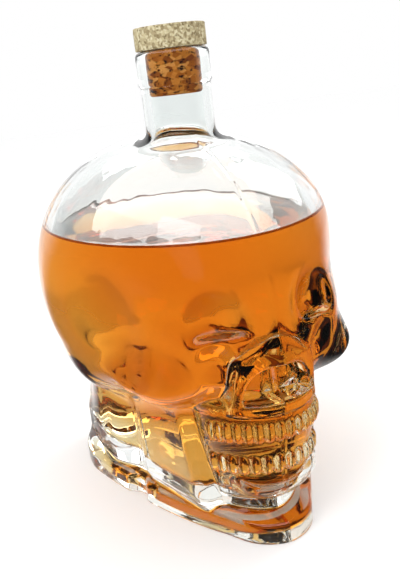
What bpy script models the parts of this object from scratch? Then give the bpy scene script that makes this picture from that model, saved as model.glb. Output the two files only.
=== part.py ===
"""Skull decanter: a moulded glass skull with a neck, its fill and a cork stopper.

World frame: the face looks along -Y, +X is the skull's left side, +Z is up and
the decanter stands on z = 0 with the origin under the middle of its length.
Sizes below are millimetres about the neck axis; NECK_AXIS_Y then moves them all.
Places and sizes of paired features are given for the +X side.
"""
import math

import bmesh
import bpy
import numpy as np
from mathutils import Matrix, Vector

MM = 0.001
CLEAR = 0.3
NECK_AXIS_Y = -11.6

# Widths over which two neighbouring forms melt together.
WIDE_BLEND = 8.5
ROUND_BLEND = 5.0
FIRM_BLEND = 2.5
CREASE_BLEND = 1.6
GUM_BLEND = 0.7

# Brain case: an egg with full shoulders, narrower toward the forehead.
CRANIUM_MID = (0.0, 14.9, 94.5)
CRANIUM_HALF = (63.8, 84.7, 62.7)
CROWN_RISE = 60.0
CROWN_FULLNESS = 1.15
FOREHEAD_NARROWING = 0.22
NARROW_BELOW = 134.0
NARROW_DEPTH = 40.0
FACE_MID = (0.0, -38.0, 84.0)
FACE_HALF = (40.0, 33.0, 30.0)

# Full lower flanks behind the jaw.
MASTOID_MID = (39.0, 27.0, 64.0)
MASTOID_HALF = (16.0, 31.0, 18.0)

# Base flange, the foot that carries the whole decanter.
FOOT_HALF_WIDTH = 51.3
FOOT_FRONT = -66.0
FOOT_BACK = 82.0
FOOT_WIDEST_Y = 36.0
FOOT_CHIN_HALF_WIDTH = 15.5
FOOT_CHIN_LENGTH = 14.0
FOOT_HEIGHT = 8.5
FOOT_ROUND = 2.8
FOOT_HOLLOW_DEPTH = 1.2
FOOT_RIM_SHARE = 0.78

# Upright groove between jaw and nape.
NOTCH_MID = (44.6, -3.0)
NOTCH_RADIUS = 7.0
NOTCH_TOP = 50.0

# Nape, drawn in toward its top, and the core that joins brain case and foot.
NAPE_MID = (0.0, 42.0, 22.0)
NAPE_HALF = (44.5, 36.0, 32.0)
NAPE_CORNER = 18.0
NAPE_NARROWING = 7.0
NAPE_NARROW_FOOT = 20.0
NAPE_NARROW_RISE = 32.0
CORE_HALF_WIDTH = 44.0
CORE_FRONT = -58.0
CORE_BACK = 76.0
CORE_TOP = 58.0
CORE_EDGE = 4.0

# Flat jaw plates, turned in toward the chin, raked and leaning out upward.
JAW_PIVOT = (33.0, -21.0)
JAW_TURN = 15.5
JAW_MID = (-12.0, -0.5, 39.0)
JAW_HALF = (13.2, 23.0, 31.0)
JAW_CORNER = 7.0
JAW_UPRIGHT_Z = 40.0
JAW_RAKE = 0.12
JAW_LEAN = 0.07

# Mouth block: half ellipses stacked along the height, with the chin boss.
MOUTH_HEIGHTS = (12.0, 19.0, 30.0, 44.0, 60.0)
MOUTH_FRONTS = (-60.5, -63.0, -66.5, -69.5, -72.5)
MOUTH_HALF_WIDTHS = (17.5, 19.0, 21.5, 23.5, 24.5)
MOUTH_BACK_Y = -40.0
MOUTH_REAR_Y = -15.0
MOUTH_BOTTOM = 17.5
MOUTH_TOP = 60.5
MOUTH_EDGE = 2.5
MOUTH_DROP = 0.0034
MOUTH_DROP_FRONT_Y = -73.0
MOUTH_DROP_BACK_Y = -30.0
CHIN_MID = (0.0, -57.0, 25.0)
CHIN_HALF = (16.0, 10.5, 8.0)

# Tooth rows: height of the row, tooth half sizes, teeth per side, pitch.
UPPER_TEETH = (48.8, (2.0, 2.2, 4.1), 8, 4.0)
LOWER_TEETH = (34.8, (2.2, 2.2, 4.0), 7, 4.5)

# Cheekbones, their arches and the hollows beside the nose.
CHEEK_MID = (31.5, -35.0, 69.0)
CHEEK_HALF = (15.5, 21.0, 12.5)
ARCH_FRONT = (41.0, -28.0, 69.0)
ARCH_BACK = (45.5, 8.0, 68.0)
ARCH_RADIUS = 7.5
HOLLOW_MID = (26.0, -68.0, 72.0)
HOLLOW_HALF = (8.0, 10.0, 13.0)

# Eye sockets, stopped below by a sloping sill, and the temples behind them.
EYE_MID = (22.5, -72.0, 94.0)
EYE_HALF = (18.5, 17.0, 17.5)
EYE_SILL = 87.0
EYE_SILL_FALL = 0.12
TEMPLE_MID = (58.0, -33.0, 94.0)
TEMPLE_HALF = (13.0, 26.0, 26.0)

# Nose: a wedge with a fine ridge, the nasal opening arched under it.
NOSE_HEIGHTS = (60.0, 70.0, 77.0, 84.0, 92.0, 100.0, 130.0)
NOSE_RIDGE = (-72.5, -75.0, -76.5, -74.0, -71.0, -68.5, -45.0)
NOSE_SLOPES = (1.15, 0.95, 0.78, 0.62, 0.55, 0.55, 0.55)
NOSE_RIDGE_RADIUS = 2.2
NOSE_ROOT_Y = -50.0
NOSE_SUNK = 4.0
NASAL_HALF_WIDTH = 11.5
NASAL_FOOT = 60.0
NASAL_HEIGHT = 15.5
NASAL_BACK_Y = -61.0
NASAL_DRAFT = 0.35
SEPTUM_TOP = (0.0, -60.0, 73.0)
SEPTUM_FOOT = (0.0, -61.0, 60.0)
SEPTUM_TOP_RADIUS = 1.5
SEPTUM_FOOT_RADIUS = 2.5

# Glass thickness, fill level and the thick floor.
WALL = 5.6
FLOOR_HEIGHT = 16.5
FILL_LEVEL = 118.5
FILL_INSET = 1.4 * CLEAR

# Neck, finish ring and bore, all round about the neck axis.
LIP_Z = 187.0
LIP_FLAT_RADIUS = 12.6
RING_HEIGHT = 13.6
RING_RADIUS = 15.0
NECK_RADIUS = 14.2
NECK_STUB = 4.0
BORE_TOP_RADIUS = 11.2
BORE_FOOT_RADIUS = 10.8
BORE_FLARE = 0.7
BORE_STRAIGHT = 15.0
BORE_LENGTH = 29.0

# Stopper.
PLUG_LENGTH = 17.5
PLUG_CHAMFER = 0.8
CAP_RADIUS = 14.4
CAP_HEIGHT = 8.8
CAP_CHAMFER = 0.6

# Blanks that are pulled onto the form, and the fineness of the meshes.
BLANK_RADIUS = 60.0
BLANK_REACH = 125.0
CROWN_RAYS_RISE = 68.0
CAVITY_FLOOR_RADIUS = 36.0
HOLLOW_RADIUS = 24.0
SKIN_COLUMNS = 200
SKIN_CROWDING = 0.45
SKIN_KEEP = 0.186
CAVITY_COLUMNS = 42
TURNED_STEPS = 48


def smooth_min(a, b, blend):
    """Union of two signed distances with a rounded inner corner."""
    share = np.clip(0.5 + 0.5 * (b - a) / blend, 0.0, 1.0)
    return b + (a - b) * share - blend * share * (1.0 - share)


def smooth_max(a, b, blend):
    """Intersection of two signed distances with a rounded edge."""
    return -smooth_min(-a, -b, blend)


def ellipsoid(x, y, z, mid, half):
    """Signed distance, near the surface, to an ellipsoid."""
    u = (x - mid[0]) / half[0]
    v = (y - mid[1]) / half[1]
    w = (z - mid[2]) / half[2]
    near = np.sqrt(u * u + v * v + w * w) + 1e-9
    slope = np.sqrt((u / half[0]) ** 2 + (v / half[1]) ** 2 + (w / half[2]) ** 2) + 1e-9
    return near * (near - 1.0) / slope


def block(x, y, z, mid, half, corner):
    """Signed distance to a box with rounded corners."""
    qx = np.abs(x - mid[0]) - half[0] + corner
    qy = np.abs(y - mid[1]) - half[1] + corner
    qz = np.abs(z - mid[2]) - half[2] + corner
    outside = np.sqrt(
        np.maximum(qx, 0) ** 2 + np.maximum(qy, 0) ** 2 + np.maximum(qz, 0) ** 2
    )
    inside = np.minimum(np.maximum(qx, np.maximum(qy, qz)), 0.0)
    return outside + inside - corner


def bar(x, y, z, start, end, radius_start, radius_end):
    """Signed distance to a round bar whose radius changes along its length."""
    run = [end[i] - start[i] for i in range(3)]
    length_squared = sum(step * step for step in run)
    along = (x - start[0]) * run[0] + (y - start[1]) * run[1] + (z - start[2]) * run[2]
    along = np.clip(along / length_squared, 0.0, 1.0)
    gap = np.sqrt(
        (x - start[0] - along * run[0]) ** 2
        + (y - start[1] - along * run[1]) ** 2
        + (z - start[2] - along * run[2]) ** 2
    )
    return gap - (radius_start + (radius_end - radius_start) * along)


def egg_plan(x, y, half_width, front, back, widest_y):
    """Plan distance to an outline of the foot's kind: narrow chin, square back."""
    ahead = y < widest_y
    length = np.where(ahead, widest_y - front, back - widest_y)
    across_power = np.where(ahead, 1.75, 2.5)
    along_power = np.where(ahead, 1.15, 2.5)
    mean_power = np.where(ahead, 1.45, 2.5)
    reach = (np.abs(y - widest_y) / length) ** along_power
    reach = reach + (np.abs(x) / half_width) ** across_power
    scale = np.maximum(reach, 1e-9) ** (1.0 / mean_power)
    return (1.0 - 1.0 / scale) * np.hypot(x, y - widest_y)


def arch_plan(x, y, half_width, front, back_y):
    """Plan distance to the dental arch: a half ellipse open to the rear."""
    ahead = np.maximum(back_y - y, 0.0)
    scale = np.sqrt((np.abs(x) / half_width) ** 2 + (ahead / (back_y - front)) ** 2)
    scale = np.maximum(scale, 1e-6)
    return (1.0 - 1.0 / scale) * np.hypot(x, ahead)


def slab(plan, z, low, high, corner):
    """Raise a plan outline between two heights, edges rounded."""
    side = plan + corner
    level = np.abs(z - (low + high) / 2) - (high - low) / 2 + corner
    rounded = np.hypot(np.maximum(side, 0), np.maximum(level, 0))
    return rounded + np.minimum(np.maximum(side, level), 0) - corner


def add_cranium(x, y, z):
    """Brain case with the core of the face."""
    forward = np.clip((CRANIUM_MID[1] - y) / CRANIUM_HALF[1], 0.0, 1.0)
    below = np.clip((NARROW_BELOW - z) / NARROW_DEPTH, 0.0, 1.0)
    below = below * below * (3.0 - 2.0 * below)
    width = 1.0 - FOREHEAD_NARROWING * forward ** 1.2 * below
    climb = np.maximum(z - CRANIUM_MID[2], 0.0) / CROWN_RISE
    lifted = np.minimum(z, CRANIUM_MID[2]) + CRANIUM_HALF[2] * climb ** CROWN_FULLNESS
    case = ellipsoid(x / width, y, lifted, CRANIUM_MID, CRANIUM_HALF)
    return smooth_min(case, ellipsoid(x, y, z, FACE_MID, FACE_HALF), WIDE_BLEND)


def add_rear_column(skin, side, y, z):
    """Lower flanks, nape and the core that join the brain case to the foot."""
    flank = ellipsoid(side, y, z, MASTOID_MID, MASTOID_HALF)
    skin = smooth_min(skin, flank, WIDE_BLEND)
    climb = np.clip((z - NAPE_NARROW_FOOT) / NAPE_NARROW_RISE, 0.0, 1.0)
    nape = block(side, y, z, NAPE_MID, NAPE_HALF, NAPE_CORNER) + climb * NAPE_NARROWING
    plan = egg_plan(side, y, CORE_HALF_WIDTH, CORE_FRONT, CORE_BACK, FOOT_WIDEST_Y)
    core = slab(plan, z, 0.0, CORE_TOP, CORE_EDGE)
    return smooth_min(smooth_min(skin, nape, ROUND_BLEND), core, ROUND_BLEND)


def add_jaw_sides(skin, side, y, z):
    """Flat jaw plates, turned in toward the chin and leaning out upward."""
    turn = math.radians(JAW_TURN)
    climb = z - JAW_UPRIGHT_Z
    ahead = y - JAW_PIVOT[1] - climb * JAW_RAKE
    out = side - JAW_PIVOT[0]
    across = out * math.cos(turn) - ahead * math.sin(turn) - climb * JAW_LEAN
    along = out * math.sin(turn) + ahead * math.cos(turn)
    plate = block(across, along, z, JAW_MID, JAW_HALF, JAW_CORNER)
    return smooth_min(skin, plate, ROUND_BLEND)


def tooth_line_fall(y):
    """How far the tooth line drops away from the front, at a depth y."""
    return MOUTH_DROP * (np.minimum(y, MOUTH_DROP_BACK_Y) - MOUTH_DROP_FRONT_Y) ** 2


def add_mouth(skin, x, y, z):
    """Mouth block with the chin boss below it."""
    front = np.interp(z, MOUTH_HEIGHTS, MOUTH_FRONTS)
    half = np.interp(z, MOUTH_HEIGHTS, MOUTH_HALF_WIDTHS)
    plan = arch_plan(x, y, half, front, MOUTH_BACK_Y)
    mouth = slab(plan, z + tooth_line_fall(y), MOUTH_BOTTOM, MOUTH_TOP, MOUTH_EDGE)
    skin = smooth_min(skin, np.maximum(mouth, y - MOUTH_REAR_Y), CREASE_BLEND)
    return smooth_min(skin, ellipsoid(x, y, z, CHIN_MID, CHIN_HALF), FIRM_BLEND)


def add_cheekbones(skin, side, y, z):
    """Cheekbones, the arches running back to the ears, and the hollows."""
    cheek = ellipsoid(side, y, z, CHEEK_MID, CHEEK_HALF)
    arch = bar(side, y, z, ARCH_FRONT, ARCH_BACK, ARCH_RADIUS, ARCH_RADIUS)
    skin = smooth_min(smooth_min(skin, cheek, WIDE_BLEND), arch, ROUND_BLEND)
    return smooth_max(skin, -ellipsoid(side, y, z, HOLLOW_MID, HOLLOW_HALF), ROUND_BLEND)


def cut_eye_sockets(skin, side, y, z):
    """Eye sockets: a scoop each, stopped below by a sloping sill."""
    scoop = ellipsoid(side, y, z, EYE_MID, EYE_HALF)
    sill = EYE_SILL - EYE_SILL_FALL * (side - EYE_MID[0]) - z
    return smooth_max(skin, -smooth_max(scoop, sill, CREASE_BLEND), FIRM_BLEND)


def cut_temples(skin, side, y, z):
    """Shallow temples behind the eye sockets."""
    temple = ellipsoid(side, y, z, TEMPLE_MID, TEMPLE_HALF)
    return smooth_max(skin, -temple, WIDE_BLEND)


def add_nose(skin, x, y, z):
    """Nose wedge, then the nasal opening cut under it and its septum."""
    slope = np.interp(z, NOSE_HEIGHTS, NOSE_SLOPES)
    behind = y - np.interp(z, NOSE_HEIGHTS, NOSE_RIDGE) + NOSE_RIDGE_RADIUS / slope
    wedge = (np.hypot(x, NOSE_RIDGE_RADIUS) - slope * behind) / np.hypot(1.0, slope)
    wedge = np.maximum(wedge, np.maximum(MOUTH_TOP - NOSE_SUNK - z, y - NOSE_ROOT_Y))
    skin = smooth_min(skin, wedge, CREASE_BLEND)
    open_half = NASAL_HALF_WIDTH + NASAL_DRAFT * (NASAL_BACK_Y - y)
    arch = np.hypot(x / open_half, (z - NASAL_FOOT) / NASAL_HEIGHT)
    arch = (arch - 1.0) * NASAL_HALF_WIDTH
    arch = np.maximum(arch, np.maximum(MOUTH_TOP - z, y - NASAL_BACK_Y))
    skin = smooth_max(skin, -arch, CREASE_BLEND)
    septum = bar(x, y, z, SEPTUM_TOP, SEPTUM_FOOT, SEPTUM_TOP_RADIUS, SEPTUM_FOOT_RADIUS)
    return smooth_min(skin, septum, CREASE_BLEND)


def add_foot(skin, side, y, z):
    """Base flange with its blunt chin end, grooved between jaw and nape."""
    plan = egg_plan(side, y, FOOT_HALF_WIDTH, FOOT_FRONT, FOOT_BACK, FOOT_WIDEST_Y)
    chin_y = FOOT_FRONT + FOOT_CHIN_LENGTH
    reach = np.hypot(side / FOOT_CHIN_HALF_WIDTH, (y - chin_y) / FOOT_CHIN_LENGTH)
    chin = (1.0 - 1.0 / np.maximum(reach, 1e-6)) * np.hypot(side, y - chin_y)
    plan = smooth_min(plan, chin, ROUND_BLEND)
    skin = smooth_min(skin, slab(plan, z, -FOOT_ROUND, FOOT_HEIGHT, FOOT_ROUND), FIRM_BLEND)
    groove = np.hypot(side - NOTCH_MID[0], y - NOTCH_MID[1]) - NOTCH_RADIUS
    return smooth_max(skin, -np.maximum(groove, z - NOTCH_TOP), FIRM_BLEND)


def point_on_arch(distance, half_width, front):
    """Plan point and direction at a distance along the dental arch."""
    turn = np.linspace(0.0, math.pi / 2, 200)
    depth = MOUTH_BACK_Y - front
    xs = half_width * np.sin(turn)
    ys = MOUTH_BACK_Y - depth * np.cos(turn)
    run = np.concatenate([[0.0], np.cumsum(np.hypot(np.diff(xs), np.diff(ys)))])
    if distance > run[-1]:
        return half_width, MOUTH_BACK_Y + distance - run[-1], math.pi / 2
    here = float(np.interp(distance, run, turn))
    heading = math.atan2(depth * math.sin(here), half_width * math.cos(here))
    return half_width * math.sin(here), MOUTH_BACK_Y - depth * math.cos(here), heading


def add_tooth_row(skin, side, y, z, row):
    """Rounded teeth set side by side along the arch."""
    height, half_sizes, count, pitch = row
    front = float(np.interp(height, MOUTH_HEIGHTS, MOUTH_FRONTS))
    half = float(np.interp(height, MOUTH_HEIGHTS, MOUTH_HALF_WIDTHS))
    for number in range(count):
        place_x, place_y, heading = point_on_arch((number + 0.5) * pitch, half, front)
        dx, dy = side - place_x, y - place_y
        along = dx * math.cos(heading) + dy * math.sin(heading)
        out = dy * math.cos(heading) - dx * math.sin(heading)
        up = z - height + tooth_line_fall(place_y)
        tooth = ellipsoid(along, out, up, (0.0, 0.0, 0.0), half_sizes)
        skin = smooth_min(skin, tooth, GUM_BLEND)
    return skin


def bare_form(x, y, z):
    """Signed distance of the skull without its teeth and neck."""
    side = np.abs(x)
    skin = add_cranium(x, y, z)
    skin = add_rear_column(skin, side, y, z)
    skin = add_jaw_sides(skin, side, y, z)
    skin = add_mouth(skin, x, y, z)
    skin = add_cheekbones(skin, side, y, z)
    skin = cut_eye_sockets(skin, side, y, z)
    skin = cut_temples(skin, side, y, z)
    skin = add_nose(skin, x, y, z)
    return add_foot(skin, side, y, z)


def skull_form(x, y, z):
    """Signed distance of the outer form with its teeth and the neck's root fillet."""
    skin = bare_form(x, y, z)
    side = np.abs(x)
    near_mouth = (y < MOUTH_DROP_BACK_Y) & (z < MOUTH_TOP) & (z > MOUTH_BOTTOM)
    if near_mouth.any():
        part = skin[near_mouth]
        for row in (UPPER_TEETH, LOWER_TEETH):
            part = add_tooth_row(part, side[near_mouth], y[near_mouth], z[near_mouth], row)
        skin[near_mouth] = part
    crown = CRANIUM_MID[2] + CROWN_RISE
    stub = np.hypot(x, y) - NECK_RADIUS + CLEAR
    stub = np.maximum(stub, np.maximum(z - crown - NECK_STUB, CRANIUM_MID[2] - z))
    return smooth_min(skin, stub, ROUND_BLEND)


def cavity_form(x, y, z):
    """Signed distance of the hollow: the skull's form one wall thickness in."""
    return smooth_max(bare_form(x, y, z) + WALL, FLOOR_HEIGHT - z, ROUND_BLEND)


def fill_form(x, y, z):
    """Signed distance of the fill, one clearance inside the hollow."""
    return cavity_form(x, y, z) + FILL_INSET


def collection(name):
    """New collection in the scene."""
    made = bpy.data.collections.new(name)
    bpy.context.scene.collection.children.link(made)
    return made


def material(name, colour, roughness, metallic=0.0):
    """Principled material of a sub-part."""
    made = bpy.data.materials.new(name)
    made.use_nodes = True
    shader = made.node_tree.nodes["Principled BSDF"]
    shader.inputs["Base Color"].default_value = (*colour, 1.0)
    shader.inputs["Roughness"].default_value = roughness
    shader.inputs["Metallic"].default_value = metallic
    made.diffuse_color = (*colour, 1.0)
    return made


def settle(item):
    """Apply every modifier of an object to its mesh."""
    graph = bpy.context.evaluated_depsgraph_get()
    graph.update()
    final = bpy.data.meshes.new_from_object(item.evaluated_get(graph))
    item.modifiers.clear()
    old = item.data
    item.data = final
    bpy.data.meshes.remove(old)


def outward(item):
    """Turn every face of a closed solid to face outward."""
    work = bmesh.new()
    work.from_mesh(item.data)
    bmesh.ops.recalc_face_normals(work, faces=work.faces)
    work.to_mesh(item.data)
    work.free()


def split_quads(item):
    """Split every quad along the same diagonal, so that nested solids match."""
    work = bmesh.new()
    work.from_mesh(item.data)
    bmesh.ops.triangulate(work, faces=work.faces, quad_method="FIXED")
    work.to_mesh(item.data)
    work.free()


def turned(name, profile, steps, group):
    """Closed turned solid: a profile in +X, top to bottom, screwed about Z."""
    mesh = bpy.data.meshes.new(name)
    points = [(radius * MM, 0.0, height * MM) for radius, height in profile]
    edges = [(i, i + 1) for i in range(len(points) - 1)]
    mesh.from_pydata(points, edges, [])
    item = bpy.data.objects.new(name, mesh)
    group.objects.link(item)
    screw = item.modifiers.new("turn", "SCREW")
    screw.axis = "Z"
    screw.angle = 2.0 * math.pi
    screw.steps = steps
    screw.render_steps = steps
    screw.use_merge_vertices = True
    screw.merge_threshold = 0.00001
    settle(item)
    outward(item)
    return item


def distance_to_skin(form, origin, direction):
    """Distance along each ray to the outermost crossing of a form's surface."""
    inside = np.zeros(len(origin))
    outside = np.full(len(origin), BLANK_REACH)
    found = np.zeros(len(origin), dtype=bool)
    steps = np.linspace(BLANK_REACH, 1.0, 50)
    for step, before in zip(steps[1:], steps[:-1]):
        points = origin + direction * step
        hit = ~found & (form(*points.T) < 0.0)
        inside[hit] = step
        outside[hit] = before
        found |= hit
    for _ in range(22):
        middle = 0.5 * (inside + outside)
        points = origin + direction * middle[:, None]
        within = form(*points.T) < 0.0
        inside = np.where(within, middle, inside)
        outside = np.where(within, outside, middle)
    return 0.5 * (inside + outside)


def shape_blank(item, form, crowding, stem_height=math.inf):
    """Pull a turned blank's vertices along their rays onto a form's surface.

    The blank is a cylinder up to the cranium's middle and a dome above.
    Vertices above stem_height stay as turned. Crowding moves columns toward
    the face. Rays near the crown start on the neck axis.
    """
    mesh = item.data
    spots = np.empty(len(mesh.vertices) * 3)
    mesh.vertices.foreach_get("co", spots)
    spots = spots.reshape(-1, 3) / MM
    middle = CRANIUM_MID[2]
    plan = np.hypot(spots[:, 0], spots[:, 1])
    turn = np.arctan2(spots[:, 0], -spots[:, 1]) / math.pi
    turn = math.pi * ((1.0 - crowding) * turn + crowding * turn ** 3)
    height = spots[:, 2]
    dome = height > middle + 1e-6
    rise = np.where(dome, np.arctan2(height - middle, plan), 0.0)
    share = np.minimum(rise / math.radians(CROWN_RAYS_RISE), 1.0)
    level_y = np.interp(height, (MOUTH_TOP, middle), (0.0, CRANIUM_MID[1]))
    start_y = np.where(dome, CRANIUM_MID[1] * np.cos(share * math.pi / 2), level_y)
    start_z = np.where(dome, middle, height)
    origin = np.stack([np.zeros(len(plan)), start_y, start_z], axis=1)
    direction = np.stack(
        [np.cos(rise) * np.sin(turn), -np.cos(rise) * np.cos(turn), np.sin(rise)], axis=1
    )
    inset = np.where(dome, 1.0, plan / BLANK_RADIUS)
    shaped = height < stem_height
    reach = np.zeros(len(plan))
    reach[shaped] = distance_to_skin(form, origin[shaped], direction[shaped])
    moved = origin + direction * (reach * inset)[:, None]
    moved[~shaped] = spots[~shaped]
    mesh.vertices.foreach_set("co", (moved * MM).ravel())
    mesh.update()


def blank_profile(heights, rises, top, bottom):
    """Profile of a blank: stem or pole, dome rows, side rows, underside."""
    middle = CRANIUM_MID[2]
    dome = [
        (BLANK_RADIUS * math.cos(rise), middle + BLANK_RADIUS * math.sin(rise))
        for rise in rises
    ]
    side = [(BLANK_RADIUS, height) for height in heights]
    return top + dome + side + bottom


def combine(item, tool, operation):
    """Exact Boolean of two solids; the tool is removed afterwards."""
    cut = item.modifiers.new("combine", "BOOLEAN")
    cut.operation = operation
    cut.solver = "EXACT"
    cut.object = tool
    settle(item)
    bpy.data.objects.remove(tool)


def finish(item, look):
    """Give a sub-part its material, clean triangles and smooth shading."""
    work = bmesh.new()
    work.from_mesh(item.data)
    bmesh.ops.remove_doubles(work, verts=work.verts, dist=0.00001)
    bmesh.ops.dissolve_degenerate(work, edges=work.edges, dist=0.00001)
    bmesh.ops.triangulate(work, faces=work.faces)
    bmesh.ops.recalc_face_normals(work, faces=work.faces)
    for face in work.faces:
        face.smooth = True
    work.to_mesh(item.data)
    work.free()
    item.data.materials.clear()
    item.data.materials.append(look)


def even_steps(start, end, count):
    """Even values from start toward end, without the end."""
    return [start + (end - start) * i / count for i in range(count)]


def skin_heights():
    """Heights of the skin's side rows, closest together over the teeth."""
    middle, foot = CRANIUM_MID[2], FOOT_HEIGHT + FOOT_ROUND
    heights = even_steps(middle, EYE_SILL - FIRM_BLEND, 9)
    heights += even_steps(EYE_SILL - FIRM_BLEND, MOUTH_TOP, 14)
    heights += even_steps(MOUTH_TOP, CHIN_MID[2], 34)
    heights += even_steps(CHIN_MID[2], foot, 9)
    return heights + even_steps(foot, 0.0, 7) + [0.0]


def skin_rises():
    """Climbs of the skin's dome rows, in radians, closer over the neck's root."""
    crown = CRANIUM_MID[2] + CROWN_RISE
    root = math.atan2(crown - CRANIUM_MID[2], NECK_RADIUS)
    past_root = math.atan2(crown - CRANIUM_MID[2], NECK_RADIUS + 2.0 * ROUND_BLEND)
    top = math.atan2(crown - CRANIUM_MID[2] + NECK_STUB, NECK_RADIUS - ROUND_BLEND)
    rises = even_steps(top, root, 3) + even_steps(root, past_root, 7)
    return rises + even_steps(past_root, 0.0, 28)


def make_skin(group):
    """Outer form of the glass skull, still solid, with its flat foot."""
    rim = BLANK_RADIUS * FOOT_RIM_SHARE
    underside = [(rim, 0.0), (rim - 2.0 * FOOT_HOLLOW_DEPTH, FOOT_HOLLOW_DEPTH)]
    underside += [(HOLLOW_RADIUS, FOOT_HOLLOW_DEPTH), (0.0, FOOT_HOLLOW_DEPTH)]
    pole = [(0.0, CRANIUM_MID[2] + BLANK_RADIUS)]
    profile = blank_profile(skin_heights(), skin_rises(), pole, underside)
    skin = turned("skin", profile, SKIN_COLUMNS, group)
    shape_blank(skin, skull_form, SKIN_CROWDING)
    thin = skin.modifiers.new("thin", "DECIMATE")
    thin.ratio = SKIN_KEEP
    settle(skin)
    return skin


def make_neck(group):
    """Neck tube and finish ring, solid, rooted in the crown."""
    ring_bottom = LIP_Z - RING_HEIGHT
    root = CRANIUM_MID[2] + CROWN_RISE - 2.0 * NECK_STUB
    profile = [
        (0.0, LIP_Z),
        (LIP_FLAT_RADIUS, LIP_Z),
        (RING_RADIUS - 0.9, LIP_Z - 0.5),
        (RING_RADIUS, LIP_Z - 1.6),
        (RING_RADIUS, ring_bottom + 1.4),
        (RING_RADIUS - 0.5, ring_bottom + 0.4),
        (NECK_RADIUS, ring_bottom - 0.6),
        (NECK_RADIUS, root),
        (0.0, root),
    ]
    return turned("neck", profile, TURNED_STEPS, group)


def cavity_blank(name, form, floor_gap, group):
    """Solid of the vessel's hollow with its bore, pulled onto the given form."""
    bore_foot = LIP_Z - BORE_LENGTH
    bore = [
        (0.0, LIP_Z + ROUND_BLEND),
        (BORE_TOP_RADIUS + BORE_FLARE, LIP_Z + ROUND_BLEND),
        (BORE_TOP_RADIUS + BORE_FLARE, LIP_Z),
        (BORE_TOP_RADIUS, LIP_Z - 1.0),
        (BORE_TOP_RADIUS, LIP_Z - BORE_STRAIGHT),
        (BORE_FOOT_RADIUS, bore_foot),
        (BORE_FOOT_RADIUS, CRANIUM_MID[2] + CROWN_RISE - CLEAR),
    ]
    first = math.atan2(CROWN_RISE - WALL, BORE_FOOT_RADIUS + CREASE_BLEND)
    rises = even_steps(first, 0.0, 10)
    middle, low = CRANIUM_MID[2], FLOOR_HEIGHT + CLEAR
    heights = even_steps(middle, low, 17) + [low + floor_gap]
    floor = [(CAVITY_FLOOR_RADIUS, low + floor_gap), (0.0, low + floor_gap)]
    profile = blank_profile(heights, rises, bore, floor)
    blank = turned(name, profile, CAVITY_COLUMNS, group)
    split_quads(blank)
    shape_blank(blank, form, 0.0, middle + BLANK_RADIUS - CLEAR)
    return blank


def make_glass(parts, tools):
    """The one-piece glass vessel."""
    glass = make_skin(parts)
    glass.name = "glass_skull"
    glass.data.name = "glass_skull"
    combine(glass, make_neck(tools), "UNION")
    combine(glass, cavity_blank("hollow", cavity_form, 0.0, tools), "DIFFERENCE")
    finish(glass, material("clear_glass", (0.80, 0.86, 0.84), 0.05))
    return glass


def make_fill(parts):
    """The spirit up to its level, one clearance off the glass."""
    fill = cavity_blank("amber_fill", fill_form, FILL_INSET, parts)
    work = bmesh.new()
    work.from_mesh(fill.data)
    level = Vector((0.0, 0.0, FILL_LEVEL * MM))
    everything = work.verts[:] + work.edges[:] + work.faces[:]
    cut = bmesh.ops.bisect_plane(
        work, geom=everything, plane_co=level, plane_no=(0.0, 0.0, 1.0), clear_outer=True
    )
    rim = [piece for piece in cut["geom_cut"] if isinstance(piece, bmesh.types.BMEdge)]
    bmesh.ops.contextual_create(work, geom=rim)
    work.to_mesh(fill.data)
    work.free()
    finish(fill, material("amber_spirit", (0.72, 0.24, 0.02), 0.05))
    return fill


def make_plug(parts):
    """Cork shank, one clearance inside the bore."""
    foot = LIP_Z - PLUG_LENGTH
    radius = min(BORE_TOP_RADIUS, BORE_FOOT_RADIUS) - CLEAR
    profile = [
        (0.0, LIP_Z),
        (radius, LIP_Z),
        (radius, foot + PLUG_CHAMFER),
        (radius - PLUG_CHAMFER, foot),
        (0.0, foot),
    ]
    plug = turned("cork_plug", profile, TURNED_STEPS, parts)
    finish(plug, material("natural_cork", (0.50, 0.24, 0.08), 0.85))
    return plug


def make_cap(parts):
    """Cork disc glued on the plug, resting over the lip."""
    base = LIP_Z + CLEAR
    top = base + CAP_HEIGHT
    profile = [
        (0.0, top),
        (CAP_RADIUS - CAP_CHAMFER, top),
        (CAP_RADIUS - 0.3 * CAP_CHAMFER, top - 0.3 * CAP_CHAMFER),
        (CAP_RADIUS, top - CAP_CHAMFER),
        (CAP_RADIUS, base + CAP_CHAMFER),
        (CAP_RADIUS - CAP_CHAMFER, base),
        (0.0, base),
    ]
    cap = turned("cork_cap", profile, TURNED_STEPS, parts)
    finish(cap, material("pressed_cork", (0.49, 0.43, 0.31), 0.9))
    return cap


def place(item, pivot_height):
    """Move a sub-part to the neck axis, its origin at the given height there."""
    item.data.transform(Matrix.Translation((0.0, 0.0, -pivot_height * MM)))
    item.location = (0.0, NECK_AXIS_Y * MM, pivot_height * MM)


def main():
    """Build the decanter; the stopper's pieces get their origin on its axis."""
    for item in list(bpy.data.objects):
        bpy.data.objects.remove(item)
    parts = collection("skull_decanter")
    tools = collection("cutters")
    place(make_glass(parts, tools), 0.0)
    place(make_fill(parts), 0.0)
    place(make_plug(parts), LIP_Z)
    place(make_cap(parts), LIP_Z)


main()
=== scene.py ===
"""Visual model of a skull decanter: moulded flint glass, amber spirit and a bar-top cork.

Sizes in the classes are millimetres about the neck axis, with the face looking
along -Y. The function to_row_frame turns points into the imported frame's metres.
"""
import logging
import math
from dataclasses import dataclass, field
from enum import Enum
from typing import Any, Callable, NamedTuple, Optional, Sequence

import bpy
import numpy as np
from mathutils import Matrix, Vector


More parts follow.
